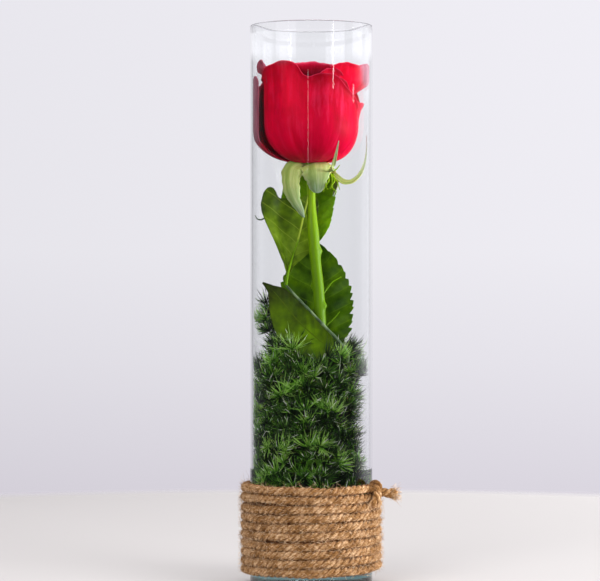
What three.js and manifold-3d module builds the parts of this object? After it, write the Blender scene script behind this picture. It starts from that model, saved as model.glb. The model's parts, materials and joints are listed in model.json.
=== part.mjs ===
// A single cut red rose standing in a tall clear glass cylinder, with three rose leaves, six sprays of
// tufted asparagus fern packed round its stem, water in the foot, and jute rope wound round the outside.
//
// Units are millimetres, +Z is up, the origin is the middle of the underside of the glass, and the side
// that faces the viewer is -Y. Each separate piece of the object is one closed mesh.

import * as THREE from "three";
import { mergeVertices } from "three/addons/utils/BufferGeometryUtils.js";
import Module from "manifold-3d";

const wasm = await Module();
wasm.setup();

const FIT = 0.3; // air left between two pieces that touch
const UP = new THREE.Vector3(0, 0, 1);
const TURN = 2 * Math.PI;

const at = (x, y, z) => new THREE.Vector3(x, y, z);
const radians = THREE.MathUtils.degToRad;
const smooth = THREE.MathUtils.smoothstep;

// A point given by its distance from the vase's axis, its compass angle in degrees and its height.
function around(radius, degrees, z) {
  const angle = radians(degrees);
  return at(radius * Math.cos(angle), radius * Math.sin(angle), z);
}

// Repeatable random numbers from 0 to 1.
function dice(seed) {
  let state = seed >>> 0;
  return () => {
    state = (Math.imul(state, 1664525) + 1013904223) >>> 0;
    return state / 4294967296;
  };
}

// ---- Solids: meshes joined and cut as closed bodies ----

function solidOf(geometry) {
  const bare = geometry.index ? geometry.toNonIndexed() : geometry.clone();
  bare.deleteAttribute("normal");
  bare.deleteAttribute("uv");
  const merged = mergeVertices(bare, 1e-4);
  const mesh = new wasm.Mesh({
    numProp: 3,
    vertProperties: merged.attributes.position.array,
    triVerts: new Uint32Array(merged.index.array),
  });
  return new wasm.Manifold(mesh);
}

const joined = (geometries) => wasm.Manifold.union(geometries.map(solidOf));

// The biggest body of a solid, without the scraps that a cut leaves loose.
function largest(solid) {
  return solid.decompose().reduce((best, body) => (body.volume() > best.volume() ? body : best));
}

function geometryOf(solid) {
  const mesh = solid.getMesh();
  const geometry = new THREE.BufferGeometry();
  geometry.setAttribute("position", new THREE.BufferAttribute(mesh.vertProperties, 3));
  geometry.setIndex(new THREE.BufferAttribute(mesh.triVerts, 1));
  return geometry;
}

// ---- Shapes that several pieces share ----

// A round rod along a curve, with flat ends.
function rod(curve, radius, sides, steps) {
  const corners = Array.from({ length: sides }, (_, i) => {
    const angle = (TURN * i) / sides;
    return new THREE.Vector2(radius * Math.cos(angle), radius * Math.sin(angle));
  });
  return new THREE.ExtrudeGeometry(new THREE.Shape(corners), {
    steps,
    extrudePath: curve,
    bevelEnabled: false,
  });
}

const through = (points) => new THREE.CatmullRomCurve3(points, false, "centripetal");

// A straight pointed spike, or a straight twig where tipRadius is given.
function spike(from, to, radius, sides, tipRadius = 0) {
  const along = to.clone().sub(from);
  const geometry = new THREE.CylinderGeometry(tipRadius, radius, along.length(), sides, 1);
  const turn = new THREE.Quaternion().setFromUnitVectors(at(0, 1, 0), along.clone().normalize());
  geometry.applyQuaternion(turn);
  const middle = from.clone().addScaledVector(along, 0.5);
  return geometry.translate(middle.x, middle.y, middle.z);
}

// A thin closed sheet: middle(u, v) is its middle surface, with u from -1 to 1 across and v from 0 to 1
// along. Both faces lie half a thickness from it and are split into triangles alike.
function sheet(columns, rows, thickness, middle) {
  const across = columns + 1;
  const grid = [];
  for (let j = 0; j <= rows; j++) {
    for (let i = 0; i <= columns; i++) grid.push(middle((2 * i) / columns - 1, j / rows));
  }
  const near = (i, j) =>
    grid[
      THREE.MathUtils.clamp(j, 0, rows) * across + THREE.MathUtils.clamp(i, 0, columns)
    ];
  const front = [];
  const back = [];
  for (let j = 0; j <= rows; j++) {
    for (let i = 0; i <= columns; i++) {
      const alongU = near(i + 1, j).clone().sub(near(i - 1, j));
      const alongV = near(i, j + 1).clone().sub(near(i, j - 1));
      const normal = alongU.cross(alongV).normalize();
      front.push(near(i, j).clone().addScaledVector(normal, thickness / 2));
      back.push(near(i, j).clone().addScaledVector(normal, -thickness / 2));
    }
  }
  const count = grid.length;
  const faces = [];
  for (let j = 0; j < rows; j++) {
    for (let i = 0; i < columns; i++) {
      const a = j * across + i;
      const [b, c, d] = [a + 1, a + across + 1, a + across];
      faces.push(a, b, c, a, c, d);
      faces.push(count + a, count + c, count + b, count + a, count + d, count + c);
    }
  }
  const rim = [];
  for (let i = 0; i < columns; i++) rim.push(i);
  for (let j = 0; j < rows; j++) rim.push(j * across + columns);
  for (let i = columns; i > 0; i--) rim.push(rows * across + i);
  for (let j = rows; j > 0; j--) rim.push(j * across);
  rim.forEach((a, k) => {
    const b = rim[(k + 1) % rim.length];
    faces.push(a, count + a, count + b, a, count + b, b);
  });
  const geometry = new THREE.BufferGeometry();
  geometry.setFromPoints([...front, ...back]);
  return geometry.setIndex(faces);
}

const object = new THREE.Group();

function add(name, solidOrGeometry, material) {
  const isGeometry = solidOrGeometry instanceof THREE.BufferGeometry;
  const geometry = isGeometry ? solidOrGeometry : geometryOf(solidOrGeometry);
  const mesh = new THREE.Mesh(geometry, material);
  mesh.name = name;
  object.add(mesh);
}

// ---- Glass cylinder: straight wall, thick flat foot, fire-rounded lip ----

const VASE = { radius: 40, height: 365, wall: 2.2, foot: 9, lip: 0.9, sides: 48 };
const BORE = VASE.radius - VASE.wall; // inner radius
const CLEAR_BORE = BORE * Math.cos(Math.PI / VASE.sides) - FIT; // what fits inside the faceted wall

const vaseProfile = [
  [0, 0],
  [VASE.radius - 2.4, 0],
  [VASE.radius - 0.7, 0.8],
  [VASE.radius, 2.8],
  [VASE.radius, VASE.height - VASE.lip],
  [VASE.radius - VASE.wall / 2, VASE.height],
  [BORE, VASE.height - VASE.lip],
  [BORE, VASE.foot + 2.6],
  [BORE - 2.6, VASE.foot],
  [0, VASE.foot],
].map(([r, z]) => new THREE.Vector2(r, z));

// LatheGeometry turns its profile about Y; this stands it up along Z.
const turned = (profile, sides) => new THREE.LatheGeometry(profile, sides).rotateX(Math.PI / 2);

add(
  "glass_vase",
  turned(vaseProfile, VASE.sides),
  new THREE.MeshStandardMaterial({
    color: 0xdfeceb,
    roughness: 0.03,
    metalness: 0,
    transparent: true,
    opacity: 0.3,
  }),
);

// ---- Rose stem: a leaning, slightly bowed cane with small nubs where thorns were taken off ----

const STEM = { radius: 3.4, sides: 8, steps: 18 };
const stemLine = through([
  at(9.2, -3, 13),
  at(8.4, -3, 60),
  at(7.4, -3, 100),
  at(6.5, -2.6, 140),
  at(5.4, -2.2, 178),
  at(4.6, -2, 194),
  at(3.0, -2, 209),
  at(1.7, -2, 224),
  at(0.6, -1.8, 239),
  at(0.3, -1.4, 255),
  at(0.9, -0.3, 269),
]);
const NUBS = [
  { share: 0.5, degrees: -150 },
  { share: 0.66, degrees: -20 },
  { share: 0.71, degrees: 160 },
  { share: 0.8, degrees: 5 },
  { share: 0.87, degrees: 100 },
];

function stemNub({ share, degrees }, extra = 0) {
  const root = stemLine.getPointAt(share);
  const out = around(1, degrees, 0.35);
  const base = root.clone().addScaledVector(out, STEM.radius - 1.6);
  const tip = root.clone().addScaledVector(out, STEM.radius + 1.4 + extra);
  return spike(base, tip, 1.6 + extra, 5, 0.4 + extra);
}

// ---- Bloom: nested rings of cupped petals on one small core ----

const BLOOM_BASE = { x: -0.5, z: 275.5 };
const PETAL = { thickness: 0.8, lapStep: 1.6, cornerDrop: 0.24, bowlShare: 0.42, bowlDepth: 0.42 };

// Rings from the outside in: how many petals, their radius and height, how far they lean in at the top
// (as a share of the radius), half their spread in degrees, the compass angle of the first, how far
// above the ring outside it the bowl starts, and the grid that each petal is drawn with.
const PETAL_RINGS = [
  { count: 5, radius: 34.7, height: 63.5, lean: 0.03, spread: 60, start: -98, lift: 0, curl: 1.2, grid: [5, 5] },
  { count: 5, radius: 28.6, height: 66, lean: 0.02, spread: 58, start: -62, lift: 3.4, curl: 2.6, grid: [5, 5] },
  { count: 4, radius: 22.2, height: 66, lean: 0.08, spread: 66, start: -85, lift: 6.8, curl: 1.6, grid: [4, 4] },
  { count: 3, radius: 15.6, height: 65, lean: 0.14, spread: 84, start: -40, lift: 10.2, curl: 0.9, grid: [4, 4] },
  { count: 3, radius: 9.4, height: 63.5, lean: 0.2, spread: 84, start: -75, lift: 13.6, curl: 0.4, grid: [4, 3] },
];

// The middle surface of one petal. v runs up a cup: a quarter ellipse for the bowl, then the wall,
// which leans in and curls out at the lip. u runs round it, and one edge lies inside the next petal.
function petalPoint(ring, index, u, v) {
  const straight = 0.05 + 0.95 * v;
  const along = straight * (1 - PETAL.cornerDrop * straight * Math.abs(u) ** 2.6);
  const bowlDepth = PETAL.bowlDepth * ring.height;
  const inBowl = Math.min(along / PETAL.bowlShare, 1) * (Math.PI / 2);
  const upWall = Math.max(along - PETAL.bowlShare, 0) / (1 - PETAL.bowlShare);
  const wallHeight = ring.height - bowlDepth - ring.lift;
  const lip = smooth(upWall, 0.72, 1);
  const leaning = 1 - ring.lean * upWall ** 2;
  const lap = PETAL.lapStep * u;
  const radius =
    ring.radius * Math.sin(inBowl) * leaning + lap * Math.sin(inBowl) + ring.curl * lip;
  const z =
    ring.lift + bowlDepth * (1 - Math.cos(inBowl)) + upWall * wallHeight - lap * Math.cos(inBowl) * 0.8;
  const narrow = 0.55 + 0.45 * smooth(along, 0, 0.5);
  const degrees = ring.start + (360 / ring.count) * index + u * ring.spread * narrow;
  return around(radius, degrees, z);
}

const petals = PETAL_RINGS.flatMap((ring) =>
  Array.from({ length: ring.count }, (_, index) =>
    sheet(...ring.grid, PETAL.thickness, (u, v) => petalPoint(ring, index, u, v)),
  ),
);

// The bud's heart: where all the petals are rooted, and the furled bud that fills the middle.
const heartProfile = [
  [0, -0.9],
  [4.6, -0.9],
  [7.2, 1.8],
  [7, 18],
  [4.4, 32],
  [4.6, 52],
  [3.2, 62],
  [0, 63],
].map(([r, z]) => new THREE.Vector2(r, z));

add(
  "rose_petals",
  geometryOf(joined([turned(heartProfile, 8), ...petals])).translate(BLOOM_BASE.x, 0, BLOOM_BASE.z),
  new THREE.MeshStandardMaterial({ color: 0xc4042a, roughness: 0.6, metalness: 0 }),
);

// ---- Leaf blades: shared by the leaves and the sepals ----

// rib is the midrib's curve, face the way the blade looks, half its half width and outline
// the share of it that is left at each point along. fold bends the halves towards face.
function blade({ rib, face, half, outline, teeth = 0, fold = 0, rows, columns, thickness }) {
  return sheet(columns, rows, thickness, (u, v) => {
    const along = 0.012 + 0.976 * v;
    const tangent = rib.getTangentAt(along);
    const across = face.clone().cross(tangent).normalize();
    const normal = tangent.clone().cross(across).normalize();
    const tooth = teeth ? Math.round(v * rows) % 2 : 0;
    const edge = Math.abs(u) > 0.99;
    const width = half * outline(along) * (teeth && edge && !tooth ? 0.92 : 1);
    const forward = teeth && edge && tooth ? 0.5 / rows : 0;
    return rib
      .getPointAt(Math.min(along + forward, 1))
      .addScaledVector(across, width * u * Math.cos(fold))
      .addScaledVector(normal, width * Math.abs(u) * Math.sin(fold));
  });
}

// A rounded leaf: below 1, waist puts its broadest part nearer its stalk, and above 1 nearer its tip.
const leafOutline = (waist) => (t) => Math.sin(Math.PI * t ** waist) ** (0.72 * waist) + 0.02;
// Widest near the root, with a long thin tip.
const sepalOutline = (t) => (1 - t) ** 0.8 * (0.8 + 0.5 * Math.sin(Math.PI * t)) + 0.07;

// ---- Calyx: the hip on the end of the stem and five sepals turned back under the bloom ----

const HIP_BASE = 266.15;
const hipProfile = [
  [0, 0],
  [3.6, 0],
  [5.4, 3.2],
  [6, 6.4],
  [8.2, 7.2],
  [8.2, 7.9],
  [0, 7.9],
].map(([r, z]) => new THREE.Vector2(r, z));

// Each sepal's midrib, from the hip outwards, its half width and the way its inner face looks.
const SEPALS = [
  {
    rib: [at(-3, -3, 272.2), at(-11, -9, 272.2), at(-13.5, -11, 262), at(-10, -10, 248), at(-5.5, -8.5, 237)],
    half: 6.4,
    face: at(-0.8, -0.7, 1),
  },
  {
    rib: [at(1, -2, 272.2), at(2.4, -11, 272.4), at(3.2, -15.5, 267), at(3.6, -14.5, 260), at(3.8, -11, 254.5)],
    half: 8,
    face: at(0, -1, 0.8),
  },
  {
    rib: [at(4, -2, 272), at(12, -5, 268), at(19, -7, 263), at(27, -7.5, 264), at(34, -6.5, 275), at(36.2, -4, 290)],
    half: 2.4,
    face: at(0.2, -1, 1),
  },
  {
    rib: [at(3, 2, 272), at(12, 7.5, 272), at(17, 10, 264), at(14.5, 10, 254)],
    half: 5,
    face: at(1, 0.6, 1),
  },
  {
    rib: [at(-1.5, 2, 272), at(-7, 11, 272.2), at(-10, 16, 265), at(-10, 13.5, 258)],
    half: 5,
    face: at(-0.6, 1, 1),
  },
];

const sepalBlade = ({ rib, half, face }) =>
  blade({
    rib: through(rib),
    face,
    half,
    outline: sepalOutline,
    fold: radians(6),
    rows: 7,
    columns: 2,
    thickness: 0.9,
  });

// A thin sepal tip that stands up against the bloom's lower right.
const risingTip = spike(at(10.5, -14.6, 266.5), at(17, -30.5, 287), 1.3, 4, 0.4);
const risingRoot = rod(through([at(3, -3, 271.8), at(8, -9, 270), at(10.6, -14.8, 266.8)]), 1.3, 5, 5);

const calyx = [
  turned(hipProfile, 10).translate(0.9, -0.3, HIP_BASE),
  ...SEPALS.map(sepalBlade),
  risingRoot,
  risingTip,
];

// ---- Rose leaves: toothed blades on their stalks ----

const LEAF = { thickness: 0.8, teeth: 9, stalk: 1 };

const toothedBlade = (rib, face, half, waist, foldDegrees, extra) =>
  blade({
    rib: through(rib),
    face,
    half: half + extra,
    outline: leafOutline(waist),
    teeth: LEAF.teeth,
    fold: radians(foldDegrees),
    rows: 2 * LEAF.teeth,
    columns: 4,
    thickness: LEAF.thickness + 2 * extra,
  });
const stalk = (points, extra) => rod(through(points), LEAF.stalk + extra, 5, 8);

// The leaf behind the top of the stem. extra grows a leaf all round, to cut what has to stay clear of it.
const upperLeaf = (extra = 0) => [
  toothedBlade(
    [at(2.6, 6, 222), at(1, 13, 236), at(-1.5, 17, 251), at(-3, 21, 262), at(-3.5, 29, 268)],
    at(0, -1, 0),
    22,
    0.85,
    12,
    extra,
  ),
  stalk([at(2.7, -1.9, 211), at(2.4, 4, 218), at(2.4, 8, 226)], extra),
];

// The large leaf that stands behind the lower stem.
const backLeaf = (extra = 0) => [
  toothedBlade(
    [at(4, 9, 141), at(2, 12, 160), at(0.6, 12, 185), at(-0.4, 10.5, 205), at(-0.8, 8.5, 221)],
    at(0, -1, 0),
    27,
    0.8,
    10,
    extra,
  ),
  stalk([at(6.8, -2.7, 126), at(6.2, 5, 134), at(4.2, 9, 146)], extra),
];

// The compound leaf in front: a stalk that crosses the stem, its end leaflet, and a side leaflet below.
const frontLeaf = (extra = 0) => [
  stalk(
    [
      at(6.8, -2.7, 127),
      at(17, -13, 145),
      at(14, -15.5, 160),
      at(5, -15.5, 172),
      at(-8, -13, 186.8),
      at(-16, -9, 194.5),
      at(-15, -6.5, 203),
    ],
    extra,
  ),
  toothedBlade(
    [at(-16.2, -8, 196), at(-15, -1, 213), at(-13.5, 3, 232), at(-13.5, 8, 247), at(-16, 14, 256)],
    at(0.3, -1, 0),
    19,
    1.25,
    6,
    extra,
  ),
  toothedBlade(
    [at(15, -15.4, 153), at(6, -16.5, 159), at(-5, -17, 168), at(-17, -15, 181), at(-30, -12, 196)],
    at(-0.1, -1, 0.2),
    13,
    0.85,
    8,
    extra,
  ),
];

add(
  "rose_stem",
  joined([
    rod(stemLine, STEM.radius, STEM.sides, STEM.steps),
    ...NUBS.map((nub) => stemNub(nub)),
    ...calyx,
    ...upperLeaf(),
    ...backLeaf(),
    ...frontLeaf(),
  ]),
  new THREE.MeshStandardMaterial({ color: 0x55811c, roughness: 0.5, metalness: 0 }),
);

// ---- Fern: six sprays, each a wiry stem with short twigs that end in bursts of needles ----

const FERN = {
  stem: 1.2,
  tip: 0.8, // radius of the stem at its top
  hub: 1.3,
  needle: 12.5,
  reach: 26.5, // how far out from the vase's axis the outer bursts sit
  from: 89, // height of the lowest bursts
  level: 17, // height between two levels of bursts
};
const STEM_FOOT = { radius: 15.5, z: 13 };
const SPRAYS = [
  { name: "fern_spray_front", degrees: 270, top: 146 },
  { name: "fern_spray_front_right", degrees: 330, top: 150 },
  { name: "fern_spray_back_right", degrees: 30, top: 158 },
  { name: "fern_spray_back", degrees: 90, top: 166 },
  { name: "fern_spray_back_left", degrees: 150, top: 180 },
  { name: "fern_spray_front_left", degrees: 210, top: 160 },
];
const sprayFoot = ({ degrees }) => around(STEM_FOOT.radius, degrees, STEM_FOOT.z);
const sprayKnee = ({ degrees }) => around(STEM_FOOT.radius + 1, degrees, FERN.from - 6);

// A burst of needles: a small ball with twenty faces, each drawn out to a point, but for the one that
// faces root, which is drawn out to the stem as the twig that carries the burst.
function burst(centre, root, random) {
  const toRoot = root.clone().sub(centre);
  const ball = new THREE.IcosahedronGeometry(FERN.hub);
  const corners = ball.attributes.position;
  const faceAt = (i) => [i, i + 1, i + 2].map((k) => new THREE.Vector3().fromBufferAttribute(corners, k));
  const middleOf = (face) => face[0].clone().add(face[1]).add(face[2]).divideScalar(3);
  ball.applyQuaternion(
    new THREE.Quaternion().setFromUnitVectors(middleOf(faceAt(0)).normalize(), toRoot.clone().normalize()),
  );
  ball.applyQuaternion(
    new THREE.Quaternion().setFromAxisAngle(toRoot.clone().normalize(), random() * TURN),
  );
  const points = [];
  for (let i = 0; i < corners.count; i += 3) {
    const face = faceAt(i);
    const middle = middleOf(face);
    if (i === 0) {
      const end = face.map((corner) => corner.clone().sub(middle).multiplyScalar(0.75).add(toRoot));
      for (let k = 0; k < 3; k++) {
        const next = (k + 1) % 3;
        points.push(face[k], face[next], end[next], face[k], end[next], end[k]);
      }
      points.push(...end);
      continue;
    }
    const tip = middle.clone().setLength(FERN.needle * (0.8 + 0.25 * random()));
    for (let k = 0; k < 3; k++) points.push(face[k], face[(k + 1) % 3], tip);
  }
  return new THREE.BufferGeometry().setFromPoints(points).translate(centre.x, centre.y, centre.z);
}

function sprayPieces(spray, seed) {
  const random = dice(seed);
  const knee = sprayKnee(spray);
  const top = around(STEM_FOOT.radius + 3, spray.degrees, spray.top - 12);
  const upper = new THREE.LineCurve3(knee, top);
  const pieces = [
    spike(sprayFoot(spray), knee.clone().addScaledVector(UP, 0.6), FERN.stem, 6, FERN.stem),
    spike(knee, top.clone().addScaledVector(UP, 2), FERN.stem, 6, FERN.tip),
    burst(around(STEM_FOOT.radius + 6, spray.degrees, spray.top), top, random),
  ];
  const levels = Math.round((spray.top - FERN.from) / FERN.level);
  for (let level = 0; level < levels; level++) {
    for (const side of [-1, 1]) {
      const z = FERN.from + FERN.level * (level + 0.25 + 0.25 * side) + 4 * (random() - 0.5);
      const degrees = spray.degrees + side * (13 + 9 * random());
      const centre = around(FERN.reach + 8 * (random() - 0.5), degrees, z);
      const share = THREE.MathUtils.clamp((z - 8 - knee.z) / (top.z - knee.z), 0, 1);
      pieces.push(burst(centre, upper.getPointAt(share), random));
    }
  }
  return pieces;
}

// The slice of the vase that belongs to one spray, so that two sprays never cross.
function spraySlice({ degrees }) {
  const half = 180 / SPRAYS.length;
  const arcSteps = 8;
  const apex = around(FIT / 2 / Math.sin(radians(half)), degrees, 0);
  const outline = [new THREE.Vector2(apex.x, apex.y)];
  for (let i = 0; i <= arcSteps; i++) {
    const rim = around(CLEAR_BORE - apex.length(), degrees - half + (2 * half * i) / arcSteps, 0).add(apex);
    outline.push(new THREE.Vector2(rim.x, rim.y));
  }
  const slice = new THREE.ExtrudeGeometry(new THREE.Shape(outline), {
    depth: VASE.height - 2 * VASE.foot,
    bevelEnabled: false,
  });
  return solidOf(slice.translate(0, 0, VASE.foot + FIT));
}

const ROSE_CLEARANCE = 1.5 * FIT;
const roseSpace = joined([
  rod(stemLine, STEM.radius + ROSE_CLEARANCE, STEM.sides, STEM.steps),
  ...NUBS.map((nub) => stemNub(nub, ROSE_CLEARANCE)),
  ...frontLeaf(ROSE_CLEARANCE),
  ...backLeaf(ROSE_CLEARANCE),
]);
const fernMaterial = new THREE.MeshStandardMaterial({ color: 0x2c6420, roughness: 0.5, metalness: 0 });

SPRAYS.forEach((spray, i) => {
  const whole = joined(sprayPieces(spray, 11 + i));
  add(spray.name, largest(whole.subtract(roseSpace).intersect(spraySlice(spray))), fernMaterial);
});

// ---- Water: fills the foot of the vase, with a plain hole for each stem that stands in it ----

const WATER = { top: 75.7, bottom: VASE.foot + FIT, cornerRadius: 2.8 };
const waterProfile = [
  [0, WATER.bottom],
  [CLEAR_BORE - WATER.cornerRadius, WATER.bottom],
  [CLEAR_BORE, WATER.bottom + WATER.cornerRadius],
  [CLEAR_BORE, WATER.top],
  [0, WATER.top],
].map(([r, z]) => new THREE.Vector2(r, z));

function stemHole(foot, knee, radius) {
  const along = knee.clone().sub(foot).normalize();
  const from = foot.clone().addScaledVector(along, -FIT);
  const to = knee.clone().addScaledVector(along, 8);
  return solidOf(spike(from, to, radius, 8, radius));
}

const sprayHoles = SPRAYS.map((spray) =>
  stemHole(sprayFoot(spray), sprayKnee(spray), FERN.stem + 1.5 * FIT),
);
const roseHole = solidOf(rod(stemLine, STEM.radius + FIT, STEM.sides, STEM.steps)).add(
  stemHole(stemLine.getPointAt(0), stemLine.getPointAt(0.04), STEM.radius + FIT),
);
const water = [roseHole, ...sprayHoles].reduce(
  (rest, hole) => rest.subtract(hole),
  solidOf(turned(waterProfile, 32)),
);
add(
  "water",
  water,
  new THREE.MeshStandardMaterial({
    color: 0xd6e6e2,
    roughness: 0.02,
    metalness: 0,
    transparent: true,
    opacity: 0.35,
  }),
);

// ---- Jute rope: one length wound round the foot, its end hitched over the top turns ----

const ROPE = {
  radius: 2.7,
  line: VASE.radius + 0.9 + 2.7, // from the axis to the middle of the rope
  pitch: 5.74,
  turns: 9.67,
  endDegrees: 330,
  endZ: 64.3,
  sides: 6,
  stepsPerTurn: 18,
};

class Winding extends THREE.Curve {
  getPoint(t) {
    const back = (1 - t) * ROPE.turns;
    return around(ROPE.line, ROPE.endDegrees - 360 * back, ROPE.endZ - ROPE.pitch * back);
  }
}

const winding = rod(new Winding(), ROPE.radius, ROPE.sides, Math.round(ROPE.turns * ROPE.stepsPerTurn));
const hitch = rod(
  through([
    around(ROPE.line + 0.4, 334, 66.2),
    around(ROPE.line + 3.8, 333, 66.2),
    around(ROPE.line + 5.2, 331, 62.6),
    around(ROPE.line + 4.8, 329, 57.6),
    around(ROPE.line + 2, 328, 54.4),
  ]),
  ROPE.radius,
  ROPE.sides,
  8,
);
const tail = rod(
  through([at(36.5, -21.5, 63.8), at(43.5, -22.6, 62.4), at(50, -21.6, 61), at(55.6, -20, 60)]),
  ROPE.radius,
  ROPE.sides,
  5,
);

add(
  "jute_rope",
  largest(joined([winding, hitch, tail])),
  new THREE.MeshStandardMaterial({ color: 0xb98a5c, roughness: 0.95, metalness: 0 }),
);

export default object;
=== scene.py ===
"""A cut red rose in a tall glass cylinder, with fern and water in its foot and jute rope wound round it.

Lengths in the formulas are millimetres in the CAD's frame; stand() turns them into metres.
"""

import json
import math

import bmesh
import bpy
import numpy as np
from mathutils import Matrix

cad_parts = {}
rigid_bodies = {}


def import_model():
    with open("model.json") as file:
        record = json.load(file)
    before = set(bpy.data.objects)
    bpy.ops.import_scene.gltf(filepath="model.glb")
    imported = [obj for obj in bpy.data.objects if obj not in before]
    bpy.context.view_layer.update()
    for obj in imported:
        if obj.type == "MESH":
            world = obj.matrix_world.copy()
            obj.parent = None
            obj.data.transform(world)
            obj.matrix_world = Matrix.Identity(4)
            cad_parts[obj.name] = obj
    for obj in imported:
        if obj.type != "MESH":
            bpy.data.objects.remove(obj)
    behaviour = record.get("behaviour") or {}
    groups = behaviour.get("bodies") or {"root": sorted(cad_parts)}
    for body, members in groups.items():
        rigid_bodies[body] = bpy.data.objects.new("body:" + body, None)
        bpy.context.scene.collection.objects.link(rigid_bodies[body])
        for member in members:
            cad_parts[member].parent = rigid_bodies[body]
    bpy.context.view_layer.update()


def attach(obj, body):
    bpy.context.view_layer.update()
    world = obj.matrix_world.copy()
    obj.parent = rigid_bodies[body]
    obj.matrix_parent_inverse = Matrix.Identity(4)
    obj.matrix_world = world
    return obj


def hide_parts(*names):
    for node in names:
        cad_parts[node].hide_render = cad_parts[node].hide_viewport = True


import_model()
scene = bpy.context.scene

# ---------------------------------------------------------------------------------------------------
# Camera: a long lens on the level of the leaves, 1.66 m in front of the vase and 7 mm left of its axis.
# ---------------------------------------------------------------------------------------------------

camera_data = bpy.data.cameras.new("camera")
camera_data.lens = 152
camera_data.sensor_width = 36
camera_data.clip_end = 20
camera = bpy.data.objects.new("camera", camera_data)
camera.location = (-0.0073, -1.657, 0.2006)
camera.rotation_euler = (math.radians(89.7), 0, 0)
scene.collection.objects.link(camera)
scene.camera = camera

# ---------------------------------------------------------------------------------------------------
# Glass cylinder: drawn soda-lime tube 1.5 mm thick with a heavy pressed foot, its lip melted round in
# the flame. It is one turned shell; light for what stands inside passes it straight.
# ---------------------------------------------------------------------------------------------------

GLASS_RADIUS, GLASS_WALL, GLASS_HEIGHT, GLASS_FOOT = 40.0, 1.5, 365.0, 9.0
BORE = GLASS_RADIUS - GLASS_WALL
OUTER_CORNER, INNER_CORNER = 2.8, 3.0
GLASS_STEPS, WALL_RINGS = 192, 12
WALL_LOW, WALL_HIGH = 8, GLASS_HEIGHT - 6
GLASS_IOR = 1.42
FOOT_TINT_TOP, LIP_TINT_DEPTH = 7.8, 0.55


def surface(grid, around=False):
    """A grid of points with its quads; around also joins the last column to the first."""
    rows, columns = grid.shape[:2]
    number = np.arange(rows * columns).reshape(rows, columns)
    if around:
        number = np.hstack([number, number[:, :1]])
    quads = np.stack([number[:-1, :-1], number[:-1, 1:], number[1:, 1:], number[1:, :-1]], -1)
    return grid, [quads.reshape(-1, 4)]


def arc(radius, height, bend, first, last, steps=9):
    """Round stretch of a profile: (radius + bend cos a, height + bend sin a), with a in degrees."""
    angle = np.radians(np.linspace(first, last, steps))
    return radius + bend * np.cos(angle), height + bend * np.sin(angle)


def turned(profile, steps):
    """Surface of revolution of a profile, given as (radii, heights) stretches from end to end: point (i, j)
    is (r_i cos a_j, r_i sin a_j, z_i), and a_j goes once round."""
    radii, heights = np.hstack(profile)[:, :, None]
    angle = np.linspace(0, 2 * np.pi, steps, endpoint=False)
    grid = np.stack([radii * np.cos(angle), radii * np.sin(angle), np.repeat(heights, steps, 1)], -1)
    return surface(grid, around=True)


def stand(name, points, faces, material, nodes, slot, uv=None, shade=None, poles=False, wall=0.0):
    """A piece of the object: its mesh in metres, with its finish, riding on the root body. Poles draws
    rings of radius 0 together to one point, and wall gives a sheet its thickness."""
    mesh = bpy.data.meshes.new(name)
    points = np.asarray(points, float).reshape(-1, 3)
    faces = [face for group in faces for face in group.tolist()]
    mesh.from_pydata((points * 0.001).tolist(), [], faces)
    if uv is not None:
        corner = np.empty(len(mesh.loops), dtype=np.int32)
        mesh.loops.foreach_get("vertex_index", corner)
        layer = mesh.uv_layers.new(name="surface")
        layer.data.foreach_set("uv", np.asarray(uv, float).reshape(-1, 2)[corner].ravel())
    if shade is not None:
        tone = mesh.attributes.new("shade", "FLOAT", "POINT")
        tone.data.foreach_set("value", np.asarray(shade, float).ravel())
    if poles:
        drawn = bmesh.new()
        drawn.from_mesh(mesh)
        bmesh.ops.remove_doubles(drawn, verts=drawn.verts, dist=1e-7)
        drawn.to_mesh(mesh)
        drawn.free()
    mesh.polygons.foreach_set("use_smooth", [True] * len(mesh.polygons))
    mesh.materials.append(material)
    made = bpy.data.objects.new(name, mesh)
    scene.collection.objects.link(made)
    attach(made, "root")
    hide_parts(*nodes)
    if wall:
        body = made.modifiers.new("body", "SOLIDIFY")
        body.thickness, body.offset = wall * 0.001, 0
    return made


def node(tree, kind, inputs=None, **settings):
    """A shader node: settings are its own options, and inputs are values or other nodes' outputs."""
    made = tree.nodes.new(kind)
    for key, value in settings.items():
        setattr(made, key, value)
    for key, value in (inputs or {}).items():
        if isinstance(value, bpy.types.NodeSocket):
            tree.links.new(value, made.inputs[key])
        else:
            made.inputs[key].default_value = value
    return made


def ramp(tree, factor, stops):
    """A colour ramp fed by factor; stops are (position, colour) pairs."""
    made = node(tree, "ShaderNodeValToRGB", {"Fac": factor})
    elements = made.color_ramp.elements
    while len(elements) < len(stops):
        elements.new(0.5)
    for element, (position, colour) in zip(elements, stops):
        element.position = position
        element.color = (*colour, 1)
    return made.outputs["Color"]


def finish(name, **sockets):
    """A material with one Principled shader, whose sockets are set here; gives it with its tree."""
    material = bpy.data.materials.new(name)
    material.use_nodes = True
    tree = material.node_tree
    shader = tree.nodes["Principled BSDF"]
    for key, value in sockets.items():
        shader.inputs[key.replace("_", " ")].default_value = value
    return material, tree, shader


def let_through(tree, shader, share, tint=(1, 1, 1)):
    """Lets light straight through a surface by a share: there it is tinted air."""
    air = node(tree, "ShaderNodeBsdfTransparent", {"Color": (*tint, 1)})
    mix = node(tree, "ShaderNodeMixShader", {0: share, 1: shader.outputs[0], 2: air.outputs[0]})
    tree.links.new(mix.outputs[0], tree.nodes["Material Output"].inputs["Surface"])


def let_lamps_through(tree, shader, tint):
    """Clear bodies throw no black shadow: a shadow ray passes them straight."""
    let_through(tree, shader, node(tree, "ShaderNodeLightPath").outputs["Is Shadow Ray"], tint)


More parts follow.
